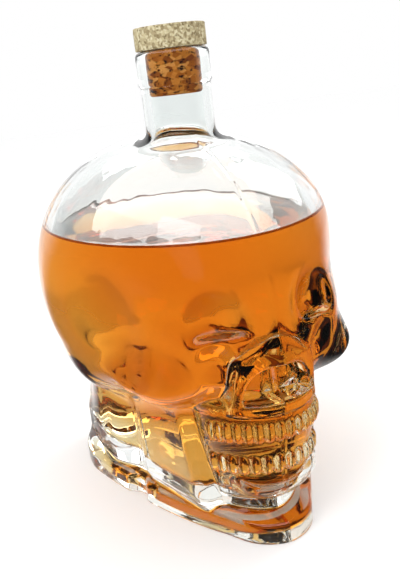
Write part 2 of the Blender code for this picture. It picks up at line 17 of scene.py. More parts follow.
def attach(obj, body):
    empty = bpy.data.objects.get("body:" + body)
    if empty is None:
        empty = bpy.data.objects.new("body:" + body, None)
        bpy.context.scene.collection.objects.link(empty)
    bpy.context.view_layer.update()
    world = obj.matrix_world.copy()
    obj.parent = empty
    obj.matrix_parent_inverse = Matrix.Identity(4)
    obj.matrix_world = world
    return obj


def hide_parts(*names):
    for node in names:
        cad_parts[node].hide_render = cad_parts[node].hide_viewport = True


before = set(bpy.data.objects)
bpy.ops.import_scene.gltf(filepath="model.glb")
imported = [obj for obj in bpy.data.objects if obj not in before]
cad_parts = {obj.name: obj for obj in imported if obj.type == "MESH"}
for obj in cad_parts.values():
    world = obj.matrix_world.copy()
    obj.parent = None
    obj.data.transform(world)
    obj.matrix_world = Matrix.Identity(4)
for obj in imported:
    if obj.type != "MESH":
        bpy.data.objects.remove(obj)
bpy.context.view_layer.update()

MM = 0.001
NECK_AXIS_Y = -11.6

# Widths over which two neighbouring forms melt together, in millimetres.
BORE_BLEND = 10.0
WIDE_BLEND = 8.5
ROUND_BLEND = 5.0
FIRM_BLEND = 2.5
CREASE_BLEND = 1.6

# How a ray closes in on a surface: most steps, share of the distance it may step,
# shortest and longest step and the distance that counts as found, in millimetres.
# Then it halves a bracket on both sides of that place.
MOST_STEPS = 120
SAFE_SHARE = 0.55
STEP_RANGE = (0.004, 8.0)
FOUND = 0.01
BRACKET = 0.25
HALVINGS = 9

# Numbers that scramble a lattice corner into the noise's value there.
LATTICE_PRIMES = np.array([374761393, 668265263, 2147483647])
SEED_PRIME = 974634777
MIX_PRIME = 1274126177
LOW_32_BITS = 0xFFFFFFFF
LOW_16_BITS = 0xFFFF

# Patterns of the noise: long and short waves of the glass; grain and pits of cork.
WAVE_SEED, RIPPLE_SEED = 3, 7
GRAIN_SEED, GRIT_SEED, PIT_SEED = 11, 12, 13

AIR_IOR = 1.0
SPIRIT_IOR = 1.36

# Keeps divisions and roots away from zero.
TINY = 1e-9

Array = np.ndarray
Tree = bpy.types.NodeTree
Socket = bpy.types.NodeSocket
Spot = tuple[float, float, float]
Table = tuple[tuple[float, float], ...]
Zones = tuple[tuple[float, int], ...]

log = logging.getLogger("skull_decanter")


class Points(NamedTuple):
    """Coordinates of many points. The skull's two sides are alike, so x has no sign."""

    x: Array
    y: Array
    z: Array


Form = Callable[[Points], Array]


# Signed distances, in millimetres: negative inside.


def smoothstep(share: Array) -> Array:
    """Share from 0 to 1 that leaves and arrives gently."""
    return share * share * (3.0 - 2.0 * share)


def smooth_join(a: Array, b: Array, blend: float) -> Array:
    """Union of two forms with a rounded inner corner.

    Args:
        a: distance to the first form.
        b: distance to the second form.
        blend: width over which the two melt together.

    Returns:
        Distance to the union.
    """
    share = np.clip(0.5 + 0.5 * (b - a) / blend, 0.0, 1.0)
    return b + (a - b) * share - blend * share * (1.0 - share)


def smooth_carve(a: Array, b: Array, blend: float) -> Array:
    """Form a with form b carved out of it, its edge rounded."""
    return -smooth_join(-a, b, blend)


def raised_plan(plan: Array, z: Array, low: float, high: float, corner: float) -> Array:
    """Distance to a plan outline raised between two heights, edges rounded.

    Args:
        plan: signed distance to the outline in plan.
        z: heights of the points.
        low: underside of the form.
        high: top of the form.
        corner: radius of its edges.

    Returns:
        Signed distance.
    """
    side = plan + corner
    level = np.abs(z - (low + high) / 2) - (high - low) / 2 + corner
    rounded = np.hypot(np.maximum(side, 0), np.maximum(level, 0))
    return rounded + np.minimum(np.maximum(side, level), 0) - corner


def value_noise(points: Array, size: float, seed: int) -> Array:
    """Smooth noise between -1 and 1.

    Args:
        points: N points, in millimetres.
        size: length over which the noise changes, in millimetres.
        seed: number that picks the pattern.

    Returns:
        N values.
    """
    spots = points / size
    corner = np.floor(spots).astype(np.int64)
    part = smoothstep(spots - corner)
    total = np.zeros(len(points))
    for step in range(8):
        offset = np.array([step & 1, (step >> 1) & 1, (step >> 2) & 1])
        code = ((corner + offset) @ LATTICE_PRIMES + seed * SEED_PRIME) & LOW_32_BITS
        code = ((code ^ (code >> 13)) * MIX_PRIME) & LOW_32_BITS
        code = (code ^ (code >> 16)) & LOW_16_BITS
        weight = np.prod(np.where(offset == 1, part, 1.0 - part), axis=1)
        total += weight * (code / (LOW_16_BITS / 2) - 1.0)
    return total


@dataclass(frozen=True)
class Ellipsoid:
    """Egg-shaped form, by its middle and half axes."""

    mid: Spot
    half: Spot

    def gap(self, at: Points) -> Array:
        """Distance to the form, true near its surface.

        Args:
            at: points to measure at.

        Returns:
            Signed distances.
        """
        u, v, w = ((values - mid) / half for values, mid, half in zip(at, self.mid, self.half))
        near = np.sqrt(u * u + v * v + w * w) + TINY
        steep = (u / self.half[0]) ** 2 + (v / self.half[1]) ** 2 + (w / self.half[2]) ** 2
        return near * (near - 1.0) / (np.sqrt(steep) + TINY)


@dataclass(frozen=True)
class RoundedBlock:
    """Box with rounded corners, by its middle and half sizes."""

    mid: Spot
    half: Spot
    corner: float

    def gap(self, at: Points) -> Array:
        """Distance to the box.

        Args:
            at: points to measure at.

        Returns:
            Signed distances.
        """
        x, y, z = (
            np.abs(values - mid) - half + self.corner
            for values, mid, half in zip(at, self.mid, self.half)
        )
        outside = np.sqrt(np.maximum(x, 0) ** 2 + np.maximum(y, 0) ** 2 + np.maximum(z, 0) ** 2)
        return outside + np.minimum(np.maximum(x, np.maximum(y, z)), 0.0) - self.corner


@dataclass(frozen=True)
class RoundBar:
    """Round bar whose radius changes along its length."""

    start: Spot
    end: Spot
    radius_start: float
    radius_end: float

    def gap(self, at: Points) -> Array:
        """Distance to the bar.

        Args:
            at: points to measure at.

        Returns:
            Signed distances.
        """
        run = [self.end[i] - self.start[i] for i in range(3)]
        away = [at[i] - self.start[i] for i in range(3)]
        along = away[0] * run[0] + away[1] * run[1] + away[2] * run[2]
        along = np.clip(along / sum(step * step for step in run), 0.0, 1.0)
        off = [away[i] - along * run[i] for i in range(3)]
        radius = self.radius_start + (self.radius_end - self.radius_start) * along
        return np.sqrt(off[0] ** 2 + off[1] ** 2 + off[2] ** 2) - radius


# The parts of the skull. Each tells the distance to its form.


@dataclass(frozen=True)
class Cranium:
    """Brain case: an egg with full shoulders, its front narrower below the crown."""

    mid: Spot = (0.0, 14.9, 94.5)
    half: Spot = (63.8, 84.7, 62.7)
    crown_rise: float = 60.0
    crown_fullness: float = 1.15
    forehead_narrowing: float = 0.22
    narrowing_power: float = 1.2
    narrow_below: float = 134.0
    narrow_depth: float = 40.0
    face: Ellipsoid = Ellipsoid((0.0, -38.0, 84.0), (40.0, 33.0, 30.0))

    def gap(self, at: Points, ease: float) -> Array:
        """Distance to the brain case with the core of the face.

        Args:
            at: points to measure at.
            ease: factor on the blend.

        Returns:
            Signed distances.
        """
        forward = np.clip((self.mid[1] - at.y) / self.half[1], 0.0, 1.0)
        below = smoothstep(np.clip((self.narrow_below - at.z) / self.narrow_depth, 0.0, 1.0))
        width = 1.0 - self.forehead_narrowing * forward ** self.narrowing_power * below
        climb = np.maximum(at.z - self.mid[2], 0.0) / self.crown_rise
        lifted = np.minimum(at.z, self.mid[2]) + self.half[2] * climb ** self.crown_fullness
        case = Ellipsoid(self.mid, self.half).gap(Points(at.x / width, at.y, lifted))
        return smooth_join(case, self.face.gap(at), WIDE_BLEND * ease)


@dataclass(frozen=True)
class BaseFlange:
    """Foot that the decanter stands on: narrow at the chin, square at the back.

    The outline's powers are given ahead of its widest place and behind it.
    """

    half_width: float = 51.3
    front: float = -66.0
    back: float = 82.0
    widest_y: float = 36.0
    length_power: tuple[float, float] = (1.15, 2.5)
    width_power: tuple[float, float] = (1.75, 2.5)
    outline_power: tuple[float, float] = (1.45, 2.5)
    chin_half_width: float = 15.5
    chin_length: float = 14.0
    height: float = 8.5
    edge: float = 2.8
    notch_mid: tuple[float, float] = (44.6, -3.0)
    notch_radius: float = 7.0
    notch_top: float = 50.0
    hollow_depth: float = 1.2
    rim_share: float = 0.78

    def plan(self, at: Points, half_width: float, front: float, back: float) -> Array:
        """Plan distance to an outline of the flange's kind.

        Args:
            at: points to measure at.
            half_width: half of its greatest width.
            front: its chin end.
            back: its back end.

        Returns:
            Signed distances in plan.
        """
        ahead = at.y < self.widest_y
        length = np.where(ahead, self.widest_y - front, back - self.widest_y)
        reach = (np.abs(at.y - self.widest_y) / length) ** np.where(ahead, *self.length_power)
        reach = reach + (at.x / half_width) ** np.where(ahead, *self.width_power)
        scale = np.maximum(reach, TINY) ** (1.0 / np.where(ahead, *self.outline_power))
        return (1.0 - 1.0 / scale) * np.hypot(at.x, at.y - self.widest_y)

    def gap(self, at: Points, ease: float) -> Array:
        """Distance to the flange, its chin end blunt.

        Args:
            at: points to measure at.
            ease: factor on the blend.

        Returns:
            Signed distances.
        """
        plan = self.plan(at, self.half_width, self.front, self.back)
        chin_y = self.front + self.chin_length
        reach = np.hypot(at.x / self.chin_half_width, (at.y - chin_y) / self.chin_length)
        chin = (1.0 - 1.0 / np.maximum(reach, TINY)) * np.hypot(at.x, at.y - chin_y)
        plan = smooth_join(plan, chin, ROUND_BLEND * ease)
        return raised_plan(plan, at.z, -self.edge, self.height, self.edge)

    def notch(self, at: Points) -> Array:
        """Distance to the upright groove between jaw and nape."""
        groove = np.hypot(at.x - self.notch_mid[0], at.y - self.notch_mid[1])
        return np.maximum(groove - self.notch_radius, at.z - self.notch_top)

    def underside(self) -> Table:
        """Rings of the underside: share of the outline, and height above the table."""
        rim, deep = self.rim_share, self.hollow_depth
        edge = ((0.97, 0.0), (rim + 0.02, 0.0), (rim, 0.1 * deep), (rim - 0.03, deep - 0.1))
        return edge + tuple((share, deep) for share in (rim - 0.06, 0.5, 0.25, 0.0))


@dataclass(frozen=True)
class Nape:
    """Nape and the core that joins the brain case to the flange."""

    block: RoundedBlock = RoundedBlock((0.0, 42.0, 22.0), (44.5, 36.0, 32.0), 18.0)
    narrowing: float = 7.0
    narrow_foot: float = 20.0
    narrow_rise: float = 32.0
    core_half_width: float = 44.0
    core_front: float = -58.0
    core_back: float = 76.0
    core_top: float = 58.0
    core_edge: float = 4.0

    def gap(self, at: Points) -> Array:
        """Distance to the nape, which narrows upward."""
        climb = np.clip((at.z - self.narrow_foot) / self.narrow_rise, 0.0, 1.0)
        return self.block.gap(at) + climb * self.narrowing

    def core(self, at: Points, flange: BaseFlange) -> Array:
        """Distance to the core, which has an outline of the flange's kind."""
        plan = flange.plan(at, self.core_half_width, self.core_front, self.core_back)
        return raised_plan(plan, at.z, 0.0, self.core_top, self.core_edge)


@dataclass(frozen=True)
class JawPlates:
    """Flat sides of the jaw, turned in toward the chin and leaning out upward."""

    pivot: tuple[float, float] = (33.0, -21.0)
    turn: float = 15.5
    plate: RoundedBlock = RoundedBlock((-12.0, -0.5, 39.0), (13.2, 23.0, 31.0), 7.0)
    upright_z: float = 40.0
    rake: float = 0.12
    lean: float = 0.07

    def gap(self, at: Points) -> Array:
        """Distance to a jaw plate.

        Args:
            at: points to measure at.

        Returns:
            Signed distances.
        """
        turn = math.radians(self.turn)
        climb = at.z - self.upright_z
        aside = at.x - self.pivot[0]
        ahead = at.y - self.pivot[1] - climb * self.rake
        across = aside * math.cos(turn) - ahead * math.sin(turn) - climb * self.lean
        along = aside * math.sin(turn) + ahead * math.cos(turn)
        return self.plate.gap(Points(across, along, at.z))


@dataclass(frozen=True)
class MouthBlock:
    """Mouth: half ellipses stacked along the height."""

    heights: tuple[float, ...] = (12.0, 19.0, 30.0, 44.0, 60.0)
    fronts: tuple[float, ...] = (-60.5, -63.0, -66.5, -69.5, -72.5)
    half_widths: tuple[float, ...] = (17.5, 19.0, 21.5, 23.5, 24.5)
    back_y: float = -40.0
    bottom: float = 17.5
    top: float = 60.5
    drop: float = 0.0034
    drop_front_y: float = -73.0
    drop_back_y: float = -30.0
    rear_y: float = -15.0
    edge: float = 2.5

    def fall(self, y: Array) -> Array:
        """How far the tooth line drops away from the front, at a depth y."""
        return self.drop * (np.minimum(y, self.drop_back_y) - self.drop_front_y) ** 2

    def gap(self, at: Points) -> Array:
        """Distance to the mouth.

        Args:
            at: points to measure at.

        Returns:
            Signed distances.
        """
        front = np.interp(at.z, self.heights, self.fronts)
        half = np.interp(at.z, self.heights, self.half_widths)
        ahead = np.maximum(self.back_y - at.y, 0.0)
        scale = np.sqrt((at.x / half) ** 2 + (ahead / (self.back_y - front)) ** 2)
        plan = (1.0 - 1.0 / np.maximum(scale, TINY)) * np.hypot(at.x, ahead)
        mouth = raised_plan(plan, at.z + self.fall(at.y), self.bottom, self.top, self.edge)
        return np.maximum(mouth, at.y - self.rear_y)


@dataclass(frozen=True)
class ToothRow:
    """Rounded teeth set side by side along the dental arch."""

    height: float
    half: Spot
    count: int
    pitch: float
    gum_blend: float = 0.7
    arch_steps: int = 200

    def place(self, mouth: MouthBlock, distance: float) -> tuple[float, float, float]:
        """Point and heading at a distance along the arch.

        Args:
            mouth: the mouth whose front the row follows.
            distance: length along the arch from the middle of the face.

        Returns:
            x and y of the point, and the arch's heading there in radians.
        """
        front = float(np.interp(self.height, mouth.heights, mouth.fronts))
        wide = float(np.interp(self.height, mouth.heights, mouth.half_widths))
        depth = mouth.back_y - front
        turn = np.linspace(0.0, math.pi / 2, self.arch_steps)
        steps = np.hypot(np.diff(wide * np.sin(turn)), np.diff(depth * np.cos(turn)))
        run = np.concatenate([[0.0], np.cumsum(steps)])
        if distance > run[-1]:
            return wide, mouth.back_y + distance - float(run[-1]), math.pi / 2
        here = float(np.interp(distance, run, turn))
        heading = math.atan2(depth * math.sin(here), wide * math.cos(here))
        return wide * math.sin(here), mouth.back_y - depth * math.cos(here), heading

    def join(self, skin: Array, at: Points, mouth: MouthBlock) -> Array:
        """Add the row's teeth to a skin.

        Args:
            skin: distance to the form without them.
            at: points that it is measured at.
            mouth: the mouth that they stand on.

        Returns:
            Distance to the form with them.
        """
        for number in range(self.count):
            place_x, place_y, heading = self.place(mouth, (number + 0.5) * self.pitch)
            dx, dy = at.x - place_x, at.y - place_y
            along = dx * math.cos(heading) + dy * math.sin(heading)
            out = dy * math.cos(heading) - dx * math.sin(heading)
            up = at.z - self.height + float(mouth.fall(np.float64(place_y)))
            tooth = Ellipsoid((0.0, 0.0, 0.0), self.half).gap(Points(along, out, up))
            skin = smooth_join(skin, tooth, self.gum_blend)
        return skin


@dataclass(frozen=True)
class Nose:
    """Nose: a wedge with a fine ridge, the nasal opening arched under it."""

    heights: tuple[float, ...] = (60.0, 70.0, 77.0, 84.0, 92.0, 100.0, 130.0)
    ridge: tuple[float, ...] = (-72.5, -75.0, -76.5, -74.0, -71.0, -68.5, -45.0)
    slopes: tuple[float, ...] = (1.9, 1.8, 1.6, 1.1, 0.75, 0.6, 0.55)
    half_widths: tuple[float, ...] = (17.5, 16.5, 14.5, 11.0, 6.5, 4.5, 4.0)
    ridge_radius: float = 2.2
    opening_half_width: float = 11.5
    opening_foot: float = 60.0
    opening_height: float = 15.5
    opening_back_y: float = -61.0
    draft: float = 0.35
    root_y: float = -50.0
    sunk: float = 4.0
    septum: RoundBar = RoundBar((0.0, -60.0, 73.0), (0.0, -61.0, 60.0), 1.5, 2.5)

    def gap(self, at: Points, mouth_top: float) -> Array:
        """Distance to the nose's wedge.

        Args:
            at: points to measure at.
            mouth_top: height of the mouth's top, which the wedge is sunk into.

        Returns:
            Signed distances.
        """
        slope = np.interp(at.z, self.heights, self.slopes)
        behind = at.y - np.interp(at.z, self.heights, self.ridge) + self.ridge_radius / slope
        wedge = (np.hypot(at.x, self.ridge_radius) - slope * behind) / np.hypot(1.0, slope)
        flank = at.x - np.interp(at.z, self.heights, self.half_widths)
        wedge = smooth_carve(wedge, -flank, CREASE_BLEND)
        return np.maximum(wedge, np.maximum(mouth_top - self.sunk - at.z, at.y - self.root_y))

    def opening(self, at: Points, mouth_top: float) -> Array:
        """Distance to the nasal opening, which widens forward.

        Args:
            at: points to measure at.
            mouth_top: height of the mouth's top, where the opening ends.

        Returns:
            Signed distances.
        """
        open_half = self.opening_half_width + self.draft * (self.opening_back_y - at.y)
        arch = np.hypot(at.x / open_half, (at.z - self.opening_foot) / self.opening_height)
        arch = (arch - 1.0) * self.opening_half_width
        return np.maximum(arch, np.maximum(mouth_top - at.z, at.y - self.opening_back_y))


@dataclass(frozen=True)
class EyeSockets:
    """Eye sockets: a scoop each, stopped below by a sloping sill."""

    scoop: Ellipsoid = Ellipsoid((24.0, -110.0, 94.5), (22.0, 52.5, 22.5))
    sill: float = 87.0
    sill_fall: float = 0.12

    def gap(self, at: Points, thinning: float) -> Array:
        """Distance to a socket, less deep by the thinning of the glass behind it."""
        above = self.sill - self.sill_fall * (at.x - self.scoop.mid[0]) - at.z
        return smooth_carve(self.scoop.gap(at) + thinning, -above, CREASE_BLEND)


@dataclass(frozen=True)
class Neck:
    """Neck tube, finish ring and bore, round about the neck axis.

    Each edge is a table of rings: how much wider and higher each is than the
    radius and the height that the edge belongs to.
    """

    lip_z: float = 187.0
    ring_bottom_z: float = 173.4
    ring_radius: float = 15.0
    radius: float = 14.2
    root_z: float = 120.0
    bore_top_radius: float = 11.2
    bore_foot_radius: float = 10.8
    bore_foot_z: float = 158.0
    bore_foot_edge: Table = ((0.05, 8.0),)
    bore_lip_edge: Table = (
        (-0.12, -15.0), (0.0, -1.6), (0.1, -1.0), (0.25, -0.65), (0.45, -0.4), (0.65, -0.2),
    )
    lip_edge: Table = (
        (-2.8, 0.0), (-2.4, 0.0), (-1.1, -0.25), (-0.35, -0.8), (0.0, -1.7), (0.0, -5.0),
    )
    ring_foot_edge: Table = ((0.0, 4.0), (0.0, 1.3), (-0.15, 0.6), (-0.5, 0.15))
    tube_edge: Table = ((0.08, -0.15), (0.0, -0.7), (0.0, -3.0))

    def tube(self, at: Points, radius: float) -> Array:
        """Distance to an upright tube of a radius, from the neck's root up."""
        return np.maximum(np.hypot(at.x, at.y) - radius, self.root_z - at.z)

    def bore_rings(self, turns: Array) -> list[Array]:
        """Rings of the bore, upward to the lip."""
        rings = turned(self.bore_foot_radius, self.bore_foot_z, self.bore_foot_edge, turns)
        return rings + turned(self.bore_top_radius, self.lip_z, self.bore_lip_edge, turns)

    def outer_rings(self, turns: Array) -> list[Array]:
        """Rings of the lip, the finish ring and the tube, downward."""
        rings = turned(self.ring_radius, self.lip_z, self.lip_edge, turns)
        rings += turned(self.ring_radius, self.ring_bottom_z, self.ring_foot_edge, turns)
        return rings + turned(self.radius, self.ring_bottom_z, self.tube_edge, turns)


@dataclass(frozen=True)
class SkullForm:
    """The whole glass form as signed distances, outside and inside."""

    cranium: Cranium = Cranium()
    mastoids: Ellipsoid = Ellipsoid((39.0, 27.0, 64.0), (16.0, 31.0, 18.0))
    nape: Nape = Nape()
    jaw: JawPlates = JawPlates()
    mouth: MouthBlock = MouthBlock()
    chin: Ellipsoid = Ellipsoid((0.0, -57.0, 25.0), (16.0, 10.5, 8.0))
    cheekbones: Ellipsoid = Ellipsoid((31.5, -35.0, 69.0), (15.5, 21.0, 12.5))
    cheek_arches: RoundBar = RoundBar((41.0, -28.0, 69.0), (45.5, 8.0, 68.0), 7.5, 7.5)
    cheek_hollows: Ellipsoid = Ellipsoid((25.0, -71.0, 74.0), (10.5, 10.0, 14.0))
    eyes: EyeSockets = EyeSockets()
    temples: Ellipsoid = Ellipsoid((96.0, -48.5, 90.0), (55.0, 55.0, 55.0))
    nose: Nose = Nose()
    flange: BaseFlange = BaseFlange()
    neck: Neck = Neck()
    upper_teeth: ToothRow = ToothRow(height=48.8, half=(2.0, 2.2, 4.1), count=8, pitch=4.0)
    lower_teeth: ToothRow = ToothRow(height=34.8, half=(2.2, 2.2, 4.0), count=7, pitch=4.5)
    teeth_half_width: float = 34.0
    teeth_back_y: float = -30.0
    teeth_span: tuple[float, float] = (24.0, 62.0)
    wall: float = 5.6
    inner_ease: float = 2.0
    socket_thinning: float = 2.6
    floor_height: float = 16.5
    seam_height: float = 0.16
    seam_width: float = 0.45
    seam_widening: float = 1.0
    seam_fade: float = 40.0

    def bare_skin(self, at: Points, ease: float = 1.0) -> Array:
        """Distance to the skull without its teeth, seam and neck.

        Args:
            at: points to measure at.
            ease: factor on most blends. Above 1 the form is softer, as the inner
                wall is, which touches no mould. It then has no nose, and its eye
                sockets are less deep, so that the glass is thin behind them.

        Returns:
            Signed distances.
        """
        moulded = ease <= 1.0
        thinning = 0.0 if moulded else self.socket_thinning
        skin = self.cranium.gap(at, ease)
        skin = smooth_join(skin, self.mastoids.gap(at), WIDE_BLEND * ease)
        skin = smooth_join(skin, self.nape.gap(at), ROUND_BLEND * ease)
        skin = smooth_join(skin, self.nape.core(at, self.flange), ROUND_BLEND * ease)
        skin = smooth_join(skin, self.jaw.gap(at), ROUND_BLEND * ease)
        skin = smooth_join(skin, self.mouth.gap(at), CREASE_BLEND * ease)
        skin = smooth_join(skin, self.chin.gap(at), FIRM_BLEND * ease)
        skin = smooth_join(skin, self.cheekbones.gap(at), WIDE_BLEND * ease)
        skin = smooth_join(skin, self.cheek_arches.gap(at), ROUND_BLEND * ease)
        skin = smooth_carve(skin, self.cheek_hollows.gap(at), FIRM_BLEND * ease)
        skin = smooth_carve(skin, self.eyes.gap(at, thinning), FIRM_BLEND)
        skin = smooth_carve(skin, self.temples.gap(at), FIRM_BLEND * ease)
        if moulded:
            skin = smooth_join(skin, self.nose.gap(at, self.mouth.top), CREASE_BLEND)
        skin = smooth_carve(skin, self.nose.opening(at, self.mouth.top), CREASE_BLEND * ease)
        if moulded:
            skin = smooth_join(skin, self.nose.septum.gap(at), CREASE_BLEND)
        skin = smooth_join(skin, self.flange.gap(at, ease), FIRM_BLEND * ease)
        return smooth_carve(skin, self.flange.notch(at), FIRM_BLEND * ease)

    def outside(self, at: Points) -> Array:
        """Distance to the outer surface, with teeth, mould seam and neck.

        Args:
            at: points to measure at.

        Returns:
            Signed distances.
        """
        skin = self.bare_skin(at)
        low, high = self.teeth_span
        near = (at.y < self.teeth_back_y) & (at.z > low) & (at.z < high)
        near &= at.x < self.teeth_half_width
        if near.any():
            part, spots = skin[near], Points(*(values[near] for values in at))
            for row in (self.upper_teeth, self.lower_teeth):
                part = row.join(part, spots, self.mouth)
            skin[near] = part
        behind = np.clip((at.y + self.seam_fade) / self.seam_fade, 0.0, 1.0)
        width = self.seam_width + self.seam_widening * behind
        skin = skin - self.seam_height * np.exp(-(at.x / width) ** 2)
        return smooth_join(skin, self.neck.tube(at, self.neck.radius), ROUND_BLEND)

    def inside(self, at: Points) -> Array:
        """Distance to the cavity: one wall in, with a thick floor and the bore.

        Args:
            at: points to measure at.

        Returns:
            Signed distances.
        """
        hollow = self.bare_skin(at, self.inner_ease) + self.wall
        hollow = smooth_carve(hollow, at.z - self.floor_height, ROUND_BLEND)
        return smooth_join(hollow, self.neck.tube(at, self.neck.bore_foot_radius), BORE_BLEND)


# Meshes


def measure(form: Form, points: Array) -> Array:
    """Distance to a form at N points given as an array of N rows."""
    return form(Points(np.abs(points[:, 0]), points[:, 1], points[:, 2]))


def reach_surface(form: Form, origin: Array, direction: Array, reach: float = 125.0) -> Array:
    """Distance along each ray to the outermost crossing of a form's surface.

    Args:
        form: signed distance of the form.
        origin: N ray origins inside the form.
        direction: N unit directions.
        reach: distance that lies outside the form on every ray.

    Returns:
        N distances.
    """
    travel = np.full(len(origin), reach)
    active = np.arange(len(origin))
    for _ in range(MOST_STEPS):
        gap = measure(form, origin[active] + direction[active] * travel[active, None])
        travel[active] -= np.clip(gap * SAFE_SHARE, *STEP_RANGE)
        active = active[gap > FOUND]
        if not len(active):
            break
    low, high = travel - BRACKET, travel + BRACKET
    for _ in range(HALVINGS):
        middle = 0.5 * (low + high)
        within = measure(form, origin + direction * middle[:, None]) < 0.0
        low = np.where(within, middle, low)
        high = np.where(within, high, middle)
    return 0.5 * (low + high)


def to_row_frame(points: Array) -> Array:
    """Points about the neck axis in millimetres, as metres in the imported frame."""
    return (points + np.array([0.0, NECK_AXIS_Y, 0.0])) * MM


def grid_mesh(name: str, rings: Sequence[Array], closed: bool = True) -> bpy.types.Object:
    """Skin over rings of points that run down and outward from a pole.

    Args:
        name: name of the new object.
        rings: arrays of N points each, in millimetres about the neck axis. The
            first gives a pole, at its mean.
        closed: whether the last ring gives a pole too, and not an open edge.

    Returns:
        The new object, shaded smooth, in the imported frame.
    """
    body = list(rings[1:-1] if closed else rings[1:])
    ends = [rings[0], rings[-1]] if closed else [rings[0]]
    columns, rows = len(rings[0]), len(body)
    here = np.arange(columns)
    after = (here + 1) % columns
    starts = np.arange(rows - 1)[:, None] * columns
    quads = np.stack(
        [starts + here, starts + columns + here, starts + columns + after, starts + after],
        axis=-1,
    ).reshape(-1, 4)
    first = np.full(columns, rows * columns)
    faces = quads.tolist() + np.stack([first, here, after], axis=-1).tolist()
    if closed:
        last = (rows - 1) * columns
        faces += np.stack([first + 1, last + after, last + here], axis=-1).tolist()
    spots = np.concatenate(body + [end.mean(axis=0)[None] for end in ends])
    mesh = bpy.data.meshes.new(name)
    mesh.from_pydata(to_row_frame(spots).tolist(), [], faces)
    mesh.shade_smooth()
    item = bpy.data.objects.new(name, mesh)
    bpy.context.scene.collection.objects.link(item)
    return item


def ring(radius: float, height: float, turns: Array) -> Array:
    """One round ring of points about the neck axis."""
    return np.stack(
        [radius * np.sin(turns), -radius * np.cos(turns), np.full(len(turns), height)], axis=1
    )


def turned(radius: float, height: float, edge: Table, turns: Array) -> list[Array]:
    """Rings of a turned edge, each wider and higher than a radius and a height."""
    return [ring(radius + wider, height + higher, turns) for wider, higher in edge]


def shrunk(row: Array, steps: Sequence[tuple[float, float]]) -> list[Array]:
    """Rings drawn in toward the neck axis.

    Args:
        row: ring that they start from.
        steps: size of each as a share of that ring, and its height.

    Returns:
        The new rings.
    """
    rings = []
    for share, height in steps:
        inner = row * share
        inner[:, 2] = height
        rings.append(inner)
    return rings


def crowded_turns(columns: int, crowding: float) -> Array:
    """Angles around the neck axis, closer together toward the face.

    Args:
        columns: how many.
        crowding: 0 for even steps, up to about 0.5.

    Returns:
        Angles in radians from the face, over a full turn.
    """
    even = (np.arange(columns) + 0.5) / columns * 2.0 - 1.0
    return math.pi * ((1.0 - crowding) * even + crowding * even ** 3)


def graded(start: float, zones: Zones) -> list[float]:
    """Values that run through zones, evenly in each.

    Args:
        start: first value.
        zones: where each zone ends, and how many values it has, its end not
            among them.

    Returns:
        The values in order.
    """
    values: list[float] = []
    for end, count in zones:
        values += [start + (end - start) * i / count for i in range(count)]
        start = end
    return values


@dataclass
class RayCage:
    """Rays from an axis inside the skull that find its surface, row by row.

    The level rows start on the neck axis up to one height, and from there on
    ever nearer to the middle of the brain case.
    """

    form: Form
    turns: Array
    middle: Spot = Cranium().mid
    crown_rise: float = 68.0
    on_axis_z: float = 60.0

    def rows(self, rises: Sequence[float], heights: Sequence[float]) -> list[Array]:
        """Rings on the form's surface, the domed rows first.

        Args:
            rises: climbs of the domed rows, in degrees.
            heights: heights of the level rows.

        Returns:
            One array of points per row.
        """
        rays = []
        for rise in rises:
            share = min(rise / self.crown_rise, 1.0)
            start_y = self.middle[1] * math.cos(share * math.pi / 2)
            lean = math.radians(rise)
            way = ring(math.cos(lean), math.sin(lean), self.turns)
            rays.append(((0.0, start_y, self.middle[2]), way))
        span = (self.on_axis_z, Cranium().mid[2])
        for height in heights:
            start_y = float(np.interp(height, span, (0.0, self.middle[1])))
            rays.append(((0.0, start_y, height), ring(1.0, 0.0, self.turns)))
        count = len(self.turns)
        origin = np.concatenate([np.tile(start, (count, 1)) for start, _ in rays])
        direction = np.concatenate([way for _, way in rays])
        travel = reach_surface(self.form, origin, direction)
        return list((origin + direction * travel[:, None]).reshape(len(rays), count, 3))


# Node trees and finishes


def linear(code: str) -> tuple[float, float, float, float]:
    """Linear colour from an sRGB hex code such as #C0A070."""
    parts = [int(code[i:i + 2], 16) / 255.0 for i in (1, 3, 5)]
    bright = [p / 12.92 if p <= 0.04045 else ((p + 0.055) / 1.055) ** 2.4 for p in parts]
    return (bright[0], bright[1], bright[2], 1.0)


WHITE = linear("#FFFFFF")
BLACK = linear("#000000")


def add_node(
    tree: Tree,
    kind: str,
    settings: Optional[dict[Any, Any]] = None,
    links: Optional[dict[Any, Socket]] = None,
) -> bpy.types.Node:
    """Add a node with its settings and links.

    Args:
        tree: tree that gets the node.
        kind: its type name.
        settings: properties, or input values by socket name or number.
        links: output sockets to join to its inputs, by socket name or number.

    Returns:
        The new node.
    """
    node = tree.nodes.new(kind)
    for name, value in (settings or {}).items():
        if isinstance(name, str) and hasattr(node, name):
            setattr(node, name, value)
        else:
            node.inputs[name].default_value = value
    for name, socket in (links or {}).items():
        tree.links.new(socket, node.inputs[name])
    return node


def new_material(name: str) -> tuple[bpy.types.Material, Tree]:
    """Empty node material and its tree."""
    made = bpy.data.materials.new(name)
    made.use_nodes = True
    made.node_tree.nodes.clear()
    return made, made.node_tree


def any_of(tree: Tree, *cases: Socket) -> Socket:
    """Share that is full wherever one of several cases is.

    Args:
        tree: tree that gets the nodes.
        cases: output sockets of shares from 0 to 1.

    Returns:
        Socket of the largest share.
    """
    most = cases[0]
    for case in cases[1:]:
        pair = {0: most, 1: case}
        most = add_node(tree, "ShaderNodeMath", {"operation": "MAXIMUM"}, pair).outputs[0]
    return most


